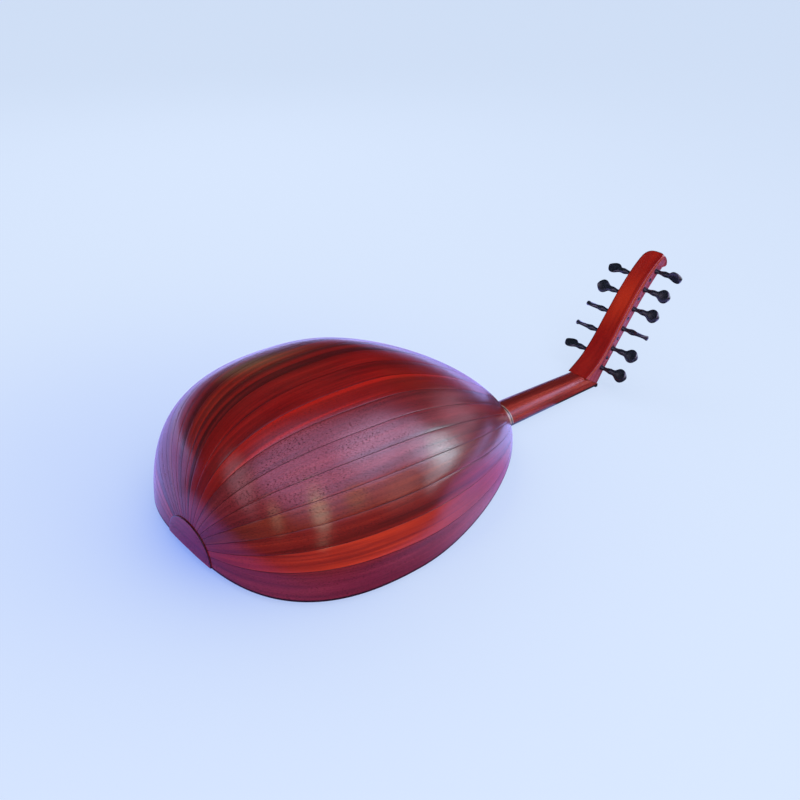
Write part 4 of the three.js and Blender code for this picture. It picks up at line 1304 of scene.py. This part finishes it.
def make_world():
    """Pale backdrop for the camera, and for gloss a bright side behind the camera, a dark side
    beyond the bowl and a pale low backdrop. Plain grey light for the rest."""
    backdrop = bpy.data.worlds.new("world")
    bpy.context.scene.world = backdrop
    backdrop.use_nodes = True
    net = Net(backdrop.node_tree)
    path = net.add("LightPath").outputs
    ray = net.add("TexCoord").outputs["Generated"]
    x, y, z = net.parts(ray)
    wave = net.noise(ray, 2.2, 3.0, 0.5, 0.4)
    waves = net.times(wave, 0.12)
    # bright half: towards -Y and a little -X, and just over the zenith
    side = net.plus(net.times(x, -0.17), net.times(y, -0.985))
    side = net.range(net.plus(side, waves), -0.06, 0.38)
    sky = net.times(side, net.range(net.plus(z, waves), 0.26, 0.72))
    # the pale room low on the far side, seen only at a glance along the silhouette
    low = net.times(net.falling(z, -0.03, 0.07),
                    net.range(net.plus(y, net.times(x, 0.25)), 0.35, 0.7))
    low = net.times(low, net.range(x, -0.35, -0.1))
    dark = net.mix(net.range(wave, 0.4, 0.7), linear(0x1c1416), linear(0x3a4230))
    color = net.mix(sky, net.mix(low, dark, SKY_LOW), SKY_BRIGHT)
    for *spot, light in SKY_SPOTS:
        color = net.mix(sky_spot(net, ray, *spot), color, (*light, 1))
    gloss = net.add("Background", {0: color, 1: 1.0})
    plain = net.add("Background", {0: ROOM_LIGHT, 1: ROOM_STRENGTH})
    seen = net.add("Background", {0: BACKDROP, 1: 1.0})
    unseen = net.switch(path["Is Glossy Ray"], plain, gloss)
    chosen = net.switch(path["Is Camera Ray"], unseen, seen)
    net.add("OutputWorld", {"Surface": chosen.outputs[0]})


# Floor, in the frame's metres: an ellipse round the bowl measures how far a place is from it

FLOOR_HALF = 9.0
FLOOR_TOP = -0.0002
BOWL_MIDDLE_X = 0.14
BOWL_REACH_X = 0.25
BOWL_REACH_Y = 0.195
FLOOR_PALE = linear(0xd5e6ff)
# this blue is also the colour of the painted shadow round the bowl
FLOOR_BLUE = linear(0x86a8ff)
FLOOR_MATTE = (0.80, 0.84, 0.95, 1)
FLOOR_GLOW = 0.8
# Violet light that the varnish mirrors from the floor: first that on the left, and then by the
# way out from the bowl, from where it starts and to where it is full
MIRROR_LEFT = (0.14, 0.08, 0.5, 1)
MIRROR_ZONES = [("east", -0.4, 0.4, (1.2, 0.7, 1.6, 1)), ("west", 0.45, 0.95, (0.34, 0.2, 0.98, 1)),
                ("east", 0.45, 0.75, (1.05, 0.5, 1.45, 1)),
                ("east", 0.8, 0.96, (0.95, 1.0, 2.35, 1)),
                ("north", 0.05, 0.6, (0.55, 0.5, 1.4, 1))]
MIRROR_BACKDROP = (0.95, 1.1, 2.4, 1)
MIRROR_DARK = linear(0x1c1216)
# the painted shadow of the neck on the floor, as the varnish mirrors it
MIRROR_NECK_SHADOW = linear(0x1c1418)


def floor_color(net, x, y, away, east, north):
    """As the camera sees it: a blue painted shadow round the tail and right at the bowl, and bluer
    in a wide pool behind it.
    """
    out = net.math("MINIMUM", net.minus(0.9, away), 0.0)
    tail = net.plus(net.times(east, -0.97), net.times(north, 0.25), clamp=True)
    # painted shadow: bluer close round the bowl, most on the tail side
    near = net.times(net.math("EXPONENT", net.over(out, 0.2)), tail)
    pool = net.plus(net.math("POWER", x, 2.0), net.math("POWER", net.minus(y, 0.15), 2.0))
    pool = net.math("EXPONENT", net.over(pool, -0.16))
    # painted contact shadow, bluer right at the rim
    close = net.math("EXPONENT", net.over(out, 0.08))
    blue = net.plus(net.times(pool, 0.36), net.times(near, 0.62))
    blue = net.plus(blue, net.times(close, 0.08), clamp=True)
    return net.mix(blue, FLOOR_PALE, FLOOR_BLUE)


def floor_mirror(net, x, y, away, east, north):
    """As the varnish mirrors it: violet close to the bowl, with painted shadow at the rim and under
    the neck, and dark further out.
    """
    ways = {"east": east, "west": net.times(east, -1.0), "north": north}
    light = MIRROR_LEFT
    for way, low, high, tint in MIRROR_ZONES:
        light = net.mix(net.range(ways[way], low, high), light, tint)
    # it reaches further ahead of the bowl, and furthest behind it
    ahead = net.range(east, 0.3, 0.9)
    beyond = net.times(net.range(north, 0.15, 0.55), net.range(east, -0.85, -0.5))
    light = net.mix(net.times(beyond, net.range(away, 2.5, 6.0)), light, MIRROR_BACKDROP)
    start = net.plus(1.2, net.plus(net.times(ahead, 0.6), net.times(beyond, 2.8)))
    reach = net.plus(0.6, net.plus(net.times(ahead, 2.4), net.times(beyond, 8.5)))
    fade = net.range(net.over(net.minus(away, start), reach), 0.0, 1.0)
    light = net.mix(fade, light, MIRROR_DARK)
    # painted shadow: darker where the bowl's rim meets the floor
    light = net.mix(net.range(away, 0.95, 1.3, 0.35, 0.0), light, MIRROR_DARK)
    # painted shadow of the neck and the pegbox: a dark strip of floor below them
    past = net.range(x, 0.48, 1.4, smooth=False)
    beside = net.times(net.range(x, 0.49, 0.54), net.range(x, 0.8, 0.6))
    wide = net.plus(0.04, net.plus(net.times(past, 0.06), net.times(beside, 0.09)))
    middle = net.plus(0.03, net.minus(net.times(past, 0.12), net.times(beside, 0.07)))
    off = net.over(net.math("ABSOLUTE", net.minus(y, middle)), wide)
    neck_shadow = net.times(net.range(x, 0.36, 0.40), net.falling(off, 0.95, 1.35))
    return net.mix(net.times(neck_shadow, 0.95), light, MIRROR_NECK_SHADOW)


def make_floor():
    """A pale floor that keeps the shadow. Near the bowl its mirror image in the varnish is
    violet."""
    mesh = bpy.data.meshes.new("floor")
    corners = [(x * FLOOR_HALF, y * FLOOR_HALF, FLOOR_TOP)
               for x, y in ((-1, -1), (1, -1), (1, 1), (-1, 1))]
    mesh.from_pydata(corners, [], [(0, 1, 2, 3)])
    material, net = new_material("floor_pale")
    path = net.add("LightPath").outputs
    x, y, _ = net.parts(net.add("TexCoord").outputs["Object"])
    # distance from the bowl, 1 at its rim, and the direction from it
    along = net.over(net.minus(x, BOWL_MIDDLE_X), BOWL_REACH_X)
    across = net.over(y, BOWL_REACH_Y)
    away = net.far(along, across)
    place = (x, y, away, net.over(along, away), net.over(across, away))
    matte = net.add("BsdfDiffuse", {"Color": FLOOR_MATTE})
    glow = net.add("Emission", {"Color": floor_color(net, *place), "Strength": 1.0})
    seen = net.switch(FLOOR_GLOW, matte, glow)
    mirrored = net.add("Emission", {"Color": floor_mirror(net, *place),
                                              "Strength": 1.0})
    glance = net.math("MAXIMUM", path["Is Glossy Ray"], path["Is Transmission Ray"])
    direct = net.switch(path["Is Camera Ray"], matte, seen)
    chosen = net.switch(glance, direct, mirrored)
    net.add("OutputMaterial", {"Surface": chosen.outputs[0]})
    mesh.materials.append(material)
    add_object("floor", mesh)


place_camera()
make_world()
make_floor()
area_lamp("soft_main", (-0.5, -1.7, 1.9), (1.8, 1.4), 34)
area_lamp("soft_far", (0.9, 1.6, 1.4), (1.4, 1.2), 9)
bpy.context.scene.view_settings.view_transform = "Standard"
